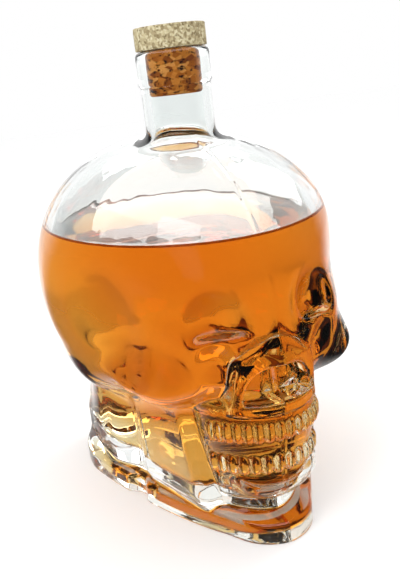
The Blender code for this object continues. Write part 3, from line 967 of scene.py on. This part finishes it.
@dataclass(frozen=True)
class FlintGlass:
    """Flint glass, press-and-blow moulded: clear and bright, a little grey-green in thick parts.

    The IOR is the glass's own over that of what touches it, so that the wetted
    wall inside barely shines and the dry wall flashes white. The faint ripple is
    the mould's skin, which bends the reflections.
    """

    name: str = "moulded_flint_glass"
    outside_ior: float = AIR_IOR
    ior: float = 1.52
    roughness: float = 0.0
    tint: str = "#FBFEFD"
    ripple_mm: float = 11.0
    ripple_strength: float = 0.12
    ripple_height_mm: float = 0.4

    def material(self) -> bpy.types.Material:
        """Clear material with the mould's ripple.

        Returns:
            The new material.
        """
        made, tree = new_material(self.name)
        spot = add_node(tree, "ShaderNodeTexCoord").outputs["Object"]
        noise = {"Scale": 1.0 / (self.ripple_mm * MM), "Detail": 1.0, "Roughness": 0.4}
        ripple = add_node(tree, "ShaderNodeTexNoise", noise, {"Vector": spot})
        relief = {"Strength": self.ripple_strength, "Distance": self.ripple_height_mm * MM}
        bump = add_node(tree, "ShaderNodeBump", relief, {"Height": ripple.outputs[0]})
        clear = {
            "Base Color": linear(self.tint),
            "Roughness": self.roughness,
            "IOR": self.ior / self.outside_ior,
            "Transmission Weight": 1.0,
        }
        rippled = {"Normal": bump.outputs["Normal"]}
        surface = add_node(tree, "ShaderNodeBsdfPrincipled", clear, rippled)
        add_node(tree, "ShaderNodeOutputMaterial", links={"Surface": surface.outputs[0]})
        return made


@dataclass(frozen=True)
class AmberSpirit:
    """Aged spirit: clear, pale orange where thin and deep amber where thick.

    The body only colours the light. The glass's wetted wall and the open surface
    bend it, so no false air film shows between glass and spirit.
    """

    depth_colour: str = "#F6D33F"
    depth_density: float = 40.0

    def clear_face(self, tree: Tree, ior: float) -> Socket:
        """Smooth clear surface of an IOR."""
        clear = {"Base Color": WHITE, "Roughness": 0.0, "IOR": ior, "Transmission Weight": 1.0}
        return add_node(tree, "ShaderNodeBsdfPrincipled", clear).outputs[0]

    def body(self) -> bpy.types.Material:
        """Material of the body, coloured by its depth alone.

        Returns:
            The new material.
        """
        made, tree = new_material("aged_amber_spirit")
        tint = {"Color": linear(self.depth_colour), "Density": self.depth_density}
        depth = add_node(tree, "ShaderNodeVolumeAbsorption", tint)
        faces = {"Surface": self.clear_face(tree, AIR_IOR), "Volume": depth.outputs[0]}
        add_node(tree, "ShaderNodeOutputMaterial", links=faces)
        return made

    def open_surface(self) -> bpy.types.Material:
        """Material of the level surface, which shines as a liquid in air does.

        Returns:
            The new material.
        """
        made, tree = new_material("spirit_open_surface")
        face = self.clear_face(tree, SPIRIT_IOR)
        add_node(tree, "ShaderNodeOutputMaterial", links={"Surface": face})
        return made


@dataclass(frozen=True)
class CorkFinish:
    """Cork, cut and unsealed: dull and mottled, a colour per granule, with dark pores.

    Granules and pores have their real sizes. The wobble breaks the granules' edges
    up, pore_share spreads the pores, and stretch flattens the grain. The grain and
    the pits are also in the mesh, as deep as grain_mm and pit_mm say.
    """

    name: str
    granule_mm: float
    pore_mm: float
    granules: tuple[tuple[float, str], ...]
    pore: str
    pore_share: float
    grain_mm: float
    pit_mm: float
    mesh_step: float
    stretch: Spot = (1.0, 1.0, 1.0)
    roughness: float = 0.88
    ior: float = 1.4
    specular: float = 0.3
    wobble: float = 0.35
    wobble_scale: float = 0.6
    pore_range: tuple[float, float] = (0.62, 0.70)
    bump_strength: float = 0.7
    bump_height: float = 0.25

    def material(self) -> bpy.types.Material:
        """Material with a colour per granule, dark pores and a granular bump.

        Returns:
            The new material.
        """
        made, tree = new_material(self.name)
        granule = self.granule_mm * MM
        coords = add_node(tree, "ShaderNodeTexCoord").outputs["Object"]
        mapped = add_node(tree, "ShaderNodeMapping", {"Scale": self.stretch}, {"Vector": coords})
        spot = mapped.outputs[0]
        scale = {"Scale": self.wobble_scale / granule}
        wobble = add_node(tree, "ShaderNodeTexNoise", scale, {"Vector": spot})
        share = {"data_type": "VECTOR", "Factor": self.wobble * granule}
        ways = {"A": spot, "B": wobble.outputs["Color"]}
        shifted = add_node(tree, "ShaderNodeMix", share, ways).outputs["Result"]
        scale = {"Scale": 1.0 / granule}
        cells = add_node(tree, "ShaderNodeTexVoronoi", scale, {"Vector": shifted})
        shade = add_node(tree, "ShaderNodeSeparateColor", links={0: cells.outputs["Color"]})
        body = add_node(tree, "ShaderNodeValToRGB", links={0: shade.outputs[0]})
        stops = body.color_ramp.elements
        while len(stops) < len(self.granules):
            stops.new(0.5)
        for stop, (position, code) in zip(stops, self.granules):
            stop.position, stop.color = position, linear(code)
        scale = {"Scale": 1.0 / (self.pore_mm * MM), "Detail": 4.0, "Roughness": 0.65}
        pores = add_node(tree, "ShaderNodeTexNoise", scale, {"Vector": spot}).outputs[0]
        start, full = (level - self.pore_share for level in self.pore_range)
        ends = {"From Min": start, "From Max": full}
        mask = add_node(tree, "ShaderNodeMapRange", ends, {"Value": pores}).outputs[0]
        dark = {"data_type": "RGBA", "B": linear(self.pore)}
        mixed = {"Factor": mask, "A": body.outputs["Color"]}
        colour = add_node(tree, "ShaderNodeMix", dark, mixed).outputs["Result"]
        levels = {0: cells.outputs["Distance"], 1: mask}
        depth = add_node(tree, "ShaderNodeMath", {"operation": "SUBTRACT"}, levels).outputs[0]
        relief = {"Strength": self.bump_strength, "Distance": self.bump_height * granule}
        bump = add_node(tree, "ShaderNodeBump", relief, {"Height": depth}).outputs["Normal"]
        dull = {"Roughness": self.roughness, "IOR": self.ior, "Specular IOR Level": self.specular}
        grained = {"Base Color": colour, "Normal": bump}
        surface = add_node(tree, "ShaderNodeBsdfPrincipled", dull, grained)
        add_node(tree, "ShaderNodeOutputMaterial", links={"Surface": surface.outputs[0]})
        return made


# Glass wetted by the spirit: hardly a reflection, so the amber shows unveiled.
WETTED_GLASS = FlintGlass("wetted_flint_glass", SPIRIT_IOR)

# Painted shade: the ring of glass at the spirit's level is tinted dark brown, a fine dark line
# that stands in for the climbing edge seen through the wall.
MENISCUS_PAINTED_SHADE_GLASS = FlintGlass("spirit_level_painted_shade_glass", SPIRIT_IOR, tint="#6B4326")

# Granulated cork, pressed with glue and cut to a disc: dull beige, finely mottled.
PRESSED_CORK = CorkFinish(
    name="pressed_granulated_cork",
    granule_mm=0.9,
    pore_mm=0.7,
    granules=((0.0, "#7D6E4F"), (0.3, "#A09270"), (0.65, "#B8AC88"), (1.0, "#CBC2A2")),
    pore="#4A3A22",
    pore_share=0.02,
    grain_mm=0.05,
    pit_mm=0.24,
    mesh_step=0.3,
)

# Coarse cork, cut to a shank and soaked with spirit: warm orange-brown, dark pits.
COARSE_CORK = CorkFinish(
    name="coarse_cut_cork",
    granule_mm=3.0,
    pore_mm=2.2,
    granules=((0.0, "#86400F"), (0.35, "#B5641A"), (0.7, "#D2812C"), (1.0, "#EAA353")),
    pore="#2A1206",
    pore_share=0.07,
    grain_mm=0.06,
    pit_mm=0.50,
    mesh_step=0.35,
    stretch=(1.0, 1.0, 1.7),
)


# Pieces


@dataclass
class GlassVessel:
    """The one-piece glass skull with its flange, neck and finish ring.

    The zones say how closely the rows of its mesh lie: where each zone ends, in
    degrees over the dome and in millimetres of height down the wall, and how
    many rows it has.
    """

    form: SkullForm = field(default_factory=SkullForm)
    wet_height: float = 119.1
    columns: int = 420
    crowding: float = 0.42
    wave_mm: float = 0.05
    wave_size: float = 9.0
    ripple_mm: float = 0.025
    ripple_size: float = 4.05
    outer_root_z: float = 167.5
    outer_dome: Zones = ((66.0, 34), (0.0, 74))
    outer_wall: Zones = ((62.0, 60), (26.0, 96), (9.0, 34))
    foot_heights: tuple[float, ...] = (8.2, 7.2, 6.2, 5.0, 3.8, 2.8, 2.0, 1.3, 0.7, 0.3, 0.0)
    inner_root_z: float = 164.0
    inner_dome: Zones = ((50.0, 30), (0.0, 44))
    inner_wall: Zones = ((94.5, 30), (26.0, 90))
    inner_foot_rows: int = 22
    inner_foot_lift: float = 0.4
    floor_lift: float = 0.02
    floor_shares: tuple[float, ...] = (0.9, 0.7, 0.45, 0.2, 0.0)

    def outer_rows(self, turns: Array) -> list[Array]:
        """Rings of the outer surface from the lip down to the underside.

        Args:
            turns: angles of the points.

        Returns:
            The rings in order.
        """
        neck = self.form.neck
        cage = RayCage(self.form.outside, turns)
        root_rise = math.degrees(math.atan2(self.outer_root_z - cage.middle[2], neck.radius))
        heights = graded(cage.middle[2], self.outer_wall) + list(self.foot_heights)
        rings = neck.outer_rings(turns) + cage.rows(graded(root_rise, self.outer_dome), heights)
        return rings + shrunk(rings[-1], self.form.flange.underside())

    def inner_cage(self, turns: Array) -> RayCage:
        """Rays that find the cavity's wall, from the middle of the spirit's surface."""
        middle = (0.0, self.form.cranium.mid[1], self.wet_height)
        return RayCage(self.form.inside, turns, middle)

    def inner_rows(self, turns: Array) -> list[Array]:
        """Rings of the cavity from its floor up through the bore to the lip.

        Args:
            turns: angles of the points.

        Returns:
            The rings in order.
        """
        neck = self.form.neck
        cage = self.inner_cage(turns)
        rise = self.inner_root_z - self.wet_height
        root_rise = math.degrees(math.atan2(rise, neck.bore_foot_radius))
        rows = cage.rows(graded(root_rise, self.inner_dome), self.wall_heights())
        rings = [self.wavy(row) for row in rows]
        floor = self.form.floor_height + self.floor_lift
        rings += shrunk(rings[-1], [(share, floor) for share in self.floor_shares])
        return rings[::-1] + neck.bore_rings(turns)

    def wall_heights(self) -> list[float]:
        """Heights of the level rows of the cavity, from the spirit's edge to the floor."""
        foot = (self.form.floor_height + self.inner_foot_lift, self.inner_foot_rows)
        return graded(self.wet_height, (*self.inner_wall, foot))

    def wavy(self, row: Array) -> Array:
        """Row of the inner surface with the slight waves of blown glass.

        Args:
            row: ring of the smooth surface.

        Returns:
            The ring, moved in and out, unless it lies in the bore.
        """
        if row[:, 2].mean() > self.form.neck.bore_foot_z:
            return row
        swell = self.wave_mm * value_noise(row, self.wave_size, WAVE_SEED)
        swell += self.ripple_mm * value_noise(row, self.ripple_size, RIPPLE_SEED)
        axis = np.array([0.0, 0.0, 1.0]) * np.clip(row[:, 2:], None, self.form.cranium.mid[2])
        out = row - axis
        out /= np.linalg.norm(out, axis=1)[:, None]
        return row + out * swell[:, None]

    def build(self) -> list[bpy.types.Object]:
        """Make the closed glass shell, dress it and put it on its body.

        Returns:
            The shell.
        """
        turns = crowded_turns(self.columns, self.crowding)
        inner = self.inner_rows(turns)
        glass = grid_mesh("glass_vessel", inner + self.outer_rows(turns))
        for finish in (FlintGlass(), WETTED_GLASS, MENISCUS_PAINTED_SHADE_GLASS):
            glass.data.materials.append(finish.material())
        # The faces come row by row from the floor up, and after them those round
        # the two poles, the floor's first.
        wet_rings = len(self.floor_shares) + len(self.wall_heights())
        dry, wetted, edge = range(3)
        slots = np.full((len(glass.data.polygons) // self.columns, self.columns), dry)
        slots[:wet_rings - 2] = wetted
        # Painted shade: the ring of faces at the spirit's level gets the dark brown tinted glass.
        slots[wet_rings - 3] = edge
        slots[-2] = wetted
        glass.data.polygons.foreach_set("material_index", slots.ravel())
        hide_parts("glass_skull")
        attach(glass, "vessel")
        return [glass]


@dataclass
class Spirit:
    """The spirit inside, lapping a little into the glass so that no air film shows.

    Its surface climbs at the edge, as a liquid does on glass. The insets say how
    far from the edge the rings of the surface lie.
    """

    vessel: GlassVessel
    lap: float = 0.35
    climb: float = 0.6
    climb_width: float = 1.1
    film: float = 0.02
    pole_y: float = 8.0
    insets: tuple[float, ...] = (
        34.0, 24.0, 16.0, 11.0, 7.5, 5.2, 3.8, 2.8, 2.0, 1.4, 0.9, 0.5,
    )
    floor_shares: tuple[float, ...] = (0.9, 0.6, 0.3, 0.0)

    def wall(self, turns: Array) -> list[Array]:
        """Rings that lap into the glass, from the spirit's edge down.

        Args:
            turns: angles of the points.

        Returns:
            The rings in order.
        """
        rings = []
        for row in self.vessel.inner_cage(turns).rows([], self.vessel.wall_heights()):
            row = self.vessel.wavy(row)
            out = row.copy()
            out[:, 2] = 0.0
            rings.append(row + out / np.linalg.norm(out, axis=1)[:, None] * self.lap)
        return rings

    def surface(self, edge: Array) -> list[Array]:
        """Rings of the open surface, from its pole to its edge.

        Args:
            edge: ring where the surface meets the glass.

        Returns:
            The rings in order, the edge last.
        """
        level = self.vessel.wet_height - self.climb
        middle = np.array([0.0, self.pole_y, level])
        span = np.linalg.norm((edge - middle)[:, :2], axis=1)
        rings = [np.tile(middle, (len(edge), 1))]
        for inset in self.insets:
            row = middle + (edge - middle) * (1.0 - inset / span)[:, None]
            row[:, 2] = level + self.climb * math.exp(-(inset - self.lap) / self.climb_width)
            rings.append(row)
        return rings + [edge]

    def build(self) -> list[bpy.types.Object]:
        """Make the liquid and its open surface, dress both and put them on their body.

        Returns:
            The liquid and its surface.
        """
        wall = self.wall(crowded_turns(self.vessel.columns, self.vessel.crowding))
        top = self.surface(wall[0])
        under = [row - np.array([0.0, 0.0, self.film]) for row in top]
        floor = self.vessel.form.floor_height - self.lap
        below = shrunk(wall[-1], [(share, floor) for share in self.floor_shares])
        spirit = grid_mesh("spirit", under + wall[1:] + below)
        spirit.data.materials.append(AmberSpirit().body())
        surface = grid_mesh("spirit_surface", top, closed=False)
        surface.data.materials.append(AmberSpirit().open_surface())
        for item in (spirit, surface):
            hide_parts("amber_fill")
            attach(item, "vessel")
        return [spirit, surface]


@dataclass
class CorkPiece:
    """A turned piece of cork with granular, pitted faces.

    The sizes of grain, grit and pits are shares of a granule of the finish.
    """

    name: str
    node: str
    profile: Sequence[tuple[float, float]]
    finish: CorkFinish
    columns: int = 220
    grain_size: float = 0.8
    grit_size: float = 0.35
    grit_share: float = 0.5
    pit_size: float = 1.1
    pit_threshold: float = 0.35

    def grained(self, row: Array, middle: Array) -> Array:
        """Ring with the cork's grain and pits.

        Args:
            row: ring of the smooth surface.
            middle: middle of the piece, which the pits go in toward.

        Returns:
            The ring, moved in and out.
        """
        out = row - middle
        out /= np.linalg.norm(out, axis=1)[:, None]
        granule = self.finish.granule_mm
        grain = value_noise(row, self.grain_size * granule, GRAIN_SEED)
        grain += self.grit_share * value_noise(row, self.grit_size * granule, GRIT_SEED)
        pits = value_noise(row, self.pit_size * granule, PIT_SEED) - self.pit_threshold
        pits = np.clip(pits, 0.0, 1.0)
        depth = self.finish.grain_mm * (grain - 1.0) - self.finish.pit_mm * pits
        return row + out * depth[:, None]

    def build(self) -> bpy.types.Object:
        """Make the piece with its grain in the mesh, dress it and put it on its body.

        Returns:
            The piece.
        """
        turns = crowded_turns(self.columns, 0.0)
        corners = np.array(self.profile)
        run = np.concatenate([[0.0], np.cumsum(np.hypot(*np.diff(corners, axis=0).T))])
        marks = np.unique(np.concatenate([np.arange(0.0, run[-1], self.finish.mesh_step), run]))
        radii = np.interp(marks, run, corners[:, 0])
        heights = np.interp(marks, run, corners[:, 1])
        middle = np.array([0.0, 0.0, float(corners[:, 1].mean())])
        rings = [
            self.grained(ring(radius, height, turns), middle)
            for radius, height in zip(radii, heights)
        ]
        item = grid_mesh(self.name, rings)
        item.data.materials.append(self.finish.material())
        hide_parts(self.node)
        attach(item, "stopper")
        return item


@dataclass
class CorkStopper:
    """Bar-top stopper: a tapered cork shank under a wider pressed disc.

    The shank is smaller than the bore by the squeeze at its top, and by the taper
    too at its foot. The edges are tables like those of the neck.
    """

    neck: Neck = Neck()
    gap: float = 0.3
    plug_length: float = 17.5
    squeeze: float = 0.12
    taper: float = 0.25
    cap_radius: float = 14.4
    cap_height: float = 8.8
    plug_bevel: float = 0.4
    plug_foot_edge: Table = ((0.0, 1.0), (-0.3, 0.3), (-0.9, 0.0))
    cap_top_edge: Table = ((-0.5, 0.0), (-0.12, -0.15), (0.0, -0.5))
    cap_foot_edge: Table = ((0.0, 0.4), (-0.12, 0.12), (-0.45, 0.0))

    def plug(self) -> CorkPiece:
        """The shank that fills the bore.

        Returns:
            The piece, not yet built.
        """
        top, foot = self.neck.lip_z, self.neck.lip_z - self.plug_length
        radius = self.neck.bore_top_radius - self.squeeze
        profile = [
            (0.0, top + self.gap),
            (radius - self.plug_bevel, top + self.gap),
            (radius, top - self.plug_bevel),
        ]
        foot_radius = radius - self.taper
        profile += [(foot_radius + wider, foot + up) for wider, up in self.plug_foot_edge]
        profile.append((0.0, foot))
        return CorkPiece("cork_shank", "cork_plug", profile, COARSE_CORK)

    def cap(self) -> CorkPiece:
        """The disc that rests over the lip.

        Returns:
            The piece, not yet built.
        """
        base = self.neck.lip_z + self.gap
        top = base + self.cap_height
        profile = [(0.0, top)]
        profile += [(self.cap_radius + wider, top + up) for wider, up in self.cap_top_edge]
        profile += [(self.cap_radius + wider, base + up) for wider, up in self.cap_foot_edge]
        profile.append((0.0, base))
        return CorkPiece("cork_disc", "cork_cap", profile, PRESSED_CORK)

    def build(self) -> list[bpy.types.Object]:
        """Make both pieces."""
        return [self.plug().build(), self.cap().build()]


# Studio

# A share that falls smoothly from 1 as a value grows.
FADE = {"interpolation_type": "SMOOTHSTEP", "To Min": 1.0}


class LampRole(Enum):
    """What a softbox is for."""

    FILL = "lights the decanter, and no glass mirrors it"
    MIRRORED = "lights the decanter, and the glass mirrors it"
    CARD = "lights nothing, and is only there for the glass to mirror"


@dataclass(frozen=True)
class Softbox:
    """A large soft lamp, its place and sizes in metres and its power in watts."""

    name: str
    spot: Spot
    width: float
    height: float
    power: float
    role: LampRole = LampRole.FILL
    colour: str = "#FFFFFF"
    aim: Spot = (0.0, 0.0, 0.09)

    def build(self) -> None:
        """Make the lamp, facing its aim."""
        lamp = bpy.data.lights.new(self.name, "AREA")
        lamp.shape = "RECTANGLE"
        lamp.size, lamp.size_y = self.width, self.height
        lamp.energy = self.power
        lamp.color = linear(self.colour)[:3]
        item = bpy.data.objects.new(self.name, lamp)
        item.location = self.spot
        look = Vector(self.aim) - Vector(self.spot)
        item.rotation_euler = look.to_track_quat("-Z", "Y").to_euler()
        item.visible_camera = False
        item.visible_glossy = self.role is not LampRole.FILL
        item.visible_diffuse = self.role is not LampRole.CARD
        item.visible_transmission = self.role is not LampRole.CARD
        bpy.context.scene.collection.objects.link(item)


@dataclass
class Studio:
    """Pale floor, even white surround, soft lamps and the photograph's camera.

    The camera's place is in degrees and millimetres about the neck axis, and the
    floor's reach in metres. mirrored and through are how far toward the
    photographer, from -1 to 1, the surround begins to darken and is dark.
    """

    azimuth: float = 20.5
    tilt: float = 15.7
    roll: float = 6.8
    distance: float = 321.8
    height: float = 177.2
    focal_px: float = 770.1
    photo_height: int = 579
    sensor: float = 36.0
    clip_start: float = 0.01
    bounces: int = 24
    glossy_bounces: int = 12
    surround: float = 1.10
    floor_half: float = 3.0
    floor_drop: float = 0.0003
    sheet_near: float = 0.05
    sheet_away: float = 0.12
    mirrored: tuple[float, float] = (-0.8, -0.5)
    through: tuple[float, float] = (-0.45, 0.15)
    dark_level: float = 0.06
    lamps: tuple[Softbox, ...] = (
        Softbox("left_softbox", (-0.55, -0.35, 0.75), 0.45, 0.6, 3.2),
        Softbox("right_softbox", (0.6, 0.25, 0.6), 0.35, 0.6, 2.4),
        Softbox("back_softbox", (0.35, 0.95, 0.25), 0.5, 0.19, 0.40, LampRole.MIRRORED),
        Softbox("overhead_card", (-0.05, 0.0, 0.75), 1.2, 1.0, 11.0, LampRole.CARD, "#FFE2D4"),
    )

    def camera(self) -> None:
        """Place the camera where the photograph was taken from."""
        turn, tilt, roll = (math.radians(v) for v in (self.azimuth, self.tilt, self.roll))
        ahead = Vector((math.sin(turn), math.cos(turn), 0.0))
        right = Vector((math.cos(turn), -math.sin(turn), 0.0))
        up = Vector((0.0, 0.0, 1.0))
        look = ahead * math.cos(tilt) - up * math.sin(tilt)
        rise = up * math.cos(tilt) + ahead * math.sin(tilt)
        across = right * math.cos(roll) - rise * math.sin(roll)
        rise = right * math.sin(roll) + rise * math.cos(roll)
        data = bpy.data.cameras.new("photo_camera")
        data.sensor_fit = "VERTICAL"
        data.sensor_height = self.sensor
        data.lens = self.focal_px * self.sensor / self.photo_height
        data.clip_start = self.clip_start
        item = bpy.data.objects.new("photo_camera", data)
        spot = -ahead * self.distance
        place = Vector((spot.x, spot.y + NECK_AXIS_Y, self.height)) * MM
        pose = Matrix((across, rise, -look)).transposed().to_4x4()
        item.matrix_world = Matrix.Translation(place) @ pose
        bpy.context.scene.collection.objects.link(item)
        bpy.context.scene.camera = item

    def lit_share(self, tree: Tree, way: Socket) -> Socket:
        """How bright the surround is in a direction, as glass shows it.

        The surround is bright behind the decanter and dark on the photographer's
        side, as glassware is lit. The dark side reaches further round for what
        the glass mirrors than for what is seen through it.

        Args:
            tree: node tree to add to.
            way: unit direction from the decanter.

        Returns:
            Socket that runs from 1 behind the decanter to dark_level, and is 1
            for all light that falls on matt surfaces.
        """
        turn = math.radians(self.azimuth)
        toward = add_node(
            tree,
            "ShaderNodeVectorMath",
            {"operation": "DOT_PRODUCT", 1: (-math.sin(turn), -math.cos(turn), 0.0)},
            {0: way},
        ).outputs["Value"]
        sides = []
        for bright_to, dark_from in (self.mirrored, self.through):
            ends = {"From Min": bright_to, "From Max": dark_from, "To Max": self.dark_level}
            fade = add_node(tree, "ShaderNodeMapRange", {**FADE, **ends}, {"Value": toward})
            sides.append(fade.outputs[0])
        kind = add_node(tree, "ShaderNodeLightPath").outputs
        mixed = {"Factor": kind["Is Transmission Ray"], "A": sides[0], "B": sides[1]}
        seen = add_node(tree, "ShaderNodeMix", {"data_type": "FLOAT"}, mixed)
        above = {"operation": "GREATER_THAN", 1: 0.5}
        matt = add_node(tree, "ShaderNodeMath", above, {0: kind["Diffuse Depth"]})
        return any_of(tree, seen.outputs[0], matt.outputs[0])

    def floor(self) -> None:
        """Make the pale floor, white to the eye, that keeps the soft shadow.

        Near the decanter it is lit from all round. Further off, glass sees it as
        bright as the surround in that direction.
        """
        mesh = bpy.data.meshes.new("floor")
        sides = ((-1, -1), (1, -1), (1, 1), (-1, 1))
        half, drop = self.floor_half, self.floor_drop
        mesh.from_pydata([(x * half, y * half, -drop) for x, y in sides], [], [(0, 1, 2, 3)])
        item = bpy.data.objects.new("floor", mesh)
        bpy.context.scene.collection.objects.link(item)
        made, tree = new_material("matt_white_floor")
        matt = add_node(tree, "ShaderNodeBsdfDiffuse", {"Color": linear("#F4F4F4")})
        unlit = add_node(tree, "ShaderNodeBsdfDiffuse", {"Color": BLACK})
        spot = add_node(tree, "ShaderNodeTexCoord").outputs["Object"]
        way = add_node(tree, "ShaderNodeVectorMath", {"operation": "NORMALIZE"}, {0: spot})
        away = add_node(tree, "ShaderNodeVectorMath", {"operation": "LENGTH"}, {0: spot})
        ends = {"From Min": self.sheet_near, "From Max": self.sheet_away, "To Max": 0.0}
        apart = {"Value": away.outputs["Value"]}
        near = add_node(tree, "ShaderNodeMapRange", {**FADE, **ends}, apart).outputs[0]
        lit = self.lit_share(tree, way.outputs[0])
        kind = add_node(tree, "ShaderNodeLightPath").outputs
        share = any_of(tree, near, lit, kind["Is Camera Ray"], kind["Is Diffuse Ray"])
        mixed = {0: share, 1: unlit.outputs[0], 2: matt.outputs[0]}
        pick = add_node(tree, "ShaderNodeMixShader", links=mixed)
        add_node(tree, "ShaderNodeOutputMaterial", links={"Surface": pick.outputs[0]})
        mesh.materials.append(made)

    def surround_light(self) -> None:
        """Make the world: plain white to the eye and even on matt surfaces.

        Glass mirrors it, and shows it through, by lit_share.
        """
        world = bpy.data.worlds.new("white_surround")
        bpy.context.scene.world = world
        world.use_nodes = True
        tree = world.node_tree
        tree.nodes.clear()
        kind = add_node(tree, "ShaderNodeLightPath").outputs
        to_eye = kind["Is Camera Ray"]
        seen = any_of(tree, to_eye, kind["Is Transmission Ray"], kind["Is Glossy Ray"])
        even = {"Strength": self.surround, "Color": WHITE}
        light = add_node(tree, "ShaderNodeBackground", even)
        way = add_node(tree, "ShaderNodeTexCoord").outputs["Generated"]
        aside = any_of(tree, self.lit_share(tree, way), to_eye)
        shown = add_node(tree, "ShaderNodeBackground", links={"Color": aside})
        mixed = {0: seen, 1: light.outputs[0], 2: shown.outputs[0]}
        pick = add_node(tree, "ShaderNodeMixShader", links=mixed)
        add_node(tree, "ShaderNodeOutputWorld", links={"Surface": pick.outputs[0]})

    def build(self) -> None:
        """Set up camera, floor, surround and lamps, and let light pass deep into glass."""
        self.camera()
        self.floor()
        self.surround_light()
        for lamp in self.lamps:
            lamp.build()
        scene = bpy.context.scene
        scene.view_settings.view_transform = "Standard"
        scene.cycles.max_bounces = self.bounces
        scene.cycles.transmission_bounces = self.bounces
        scene.cycles.glossy_bounces = self.glossy_bounces


def main() -> None:
    """Build the decanter's pieces in order and report each, then the studio."""
    logging.basicConfig(level=logging.INFO, format="%(name)s %(message)s")
    vessel = GlassVessel()
    for maker in (vessel, Spirit(vessel), CorkStopper()):
        for item in maker.build():
            log.info("%s: %d faces", item.name, len(item.data.polygons))
    Studio().build()


if __name__ == "__main__":
    main()
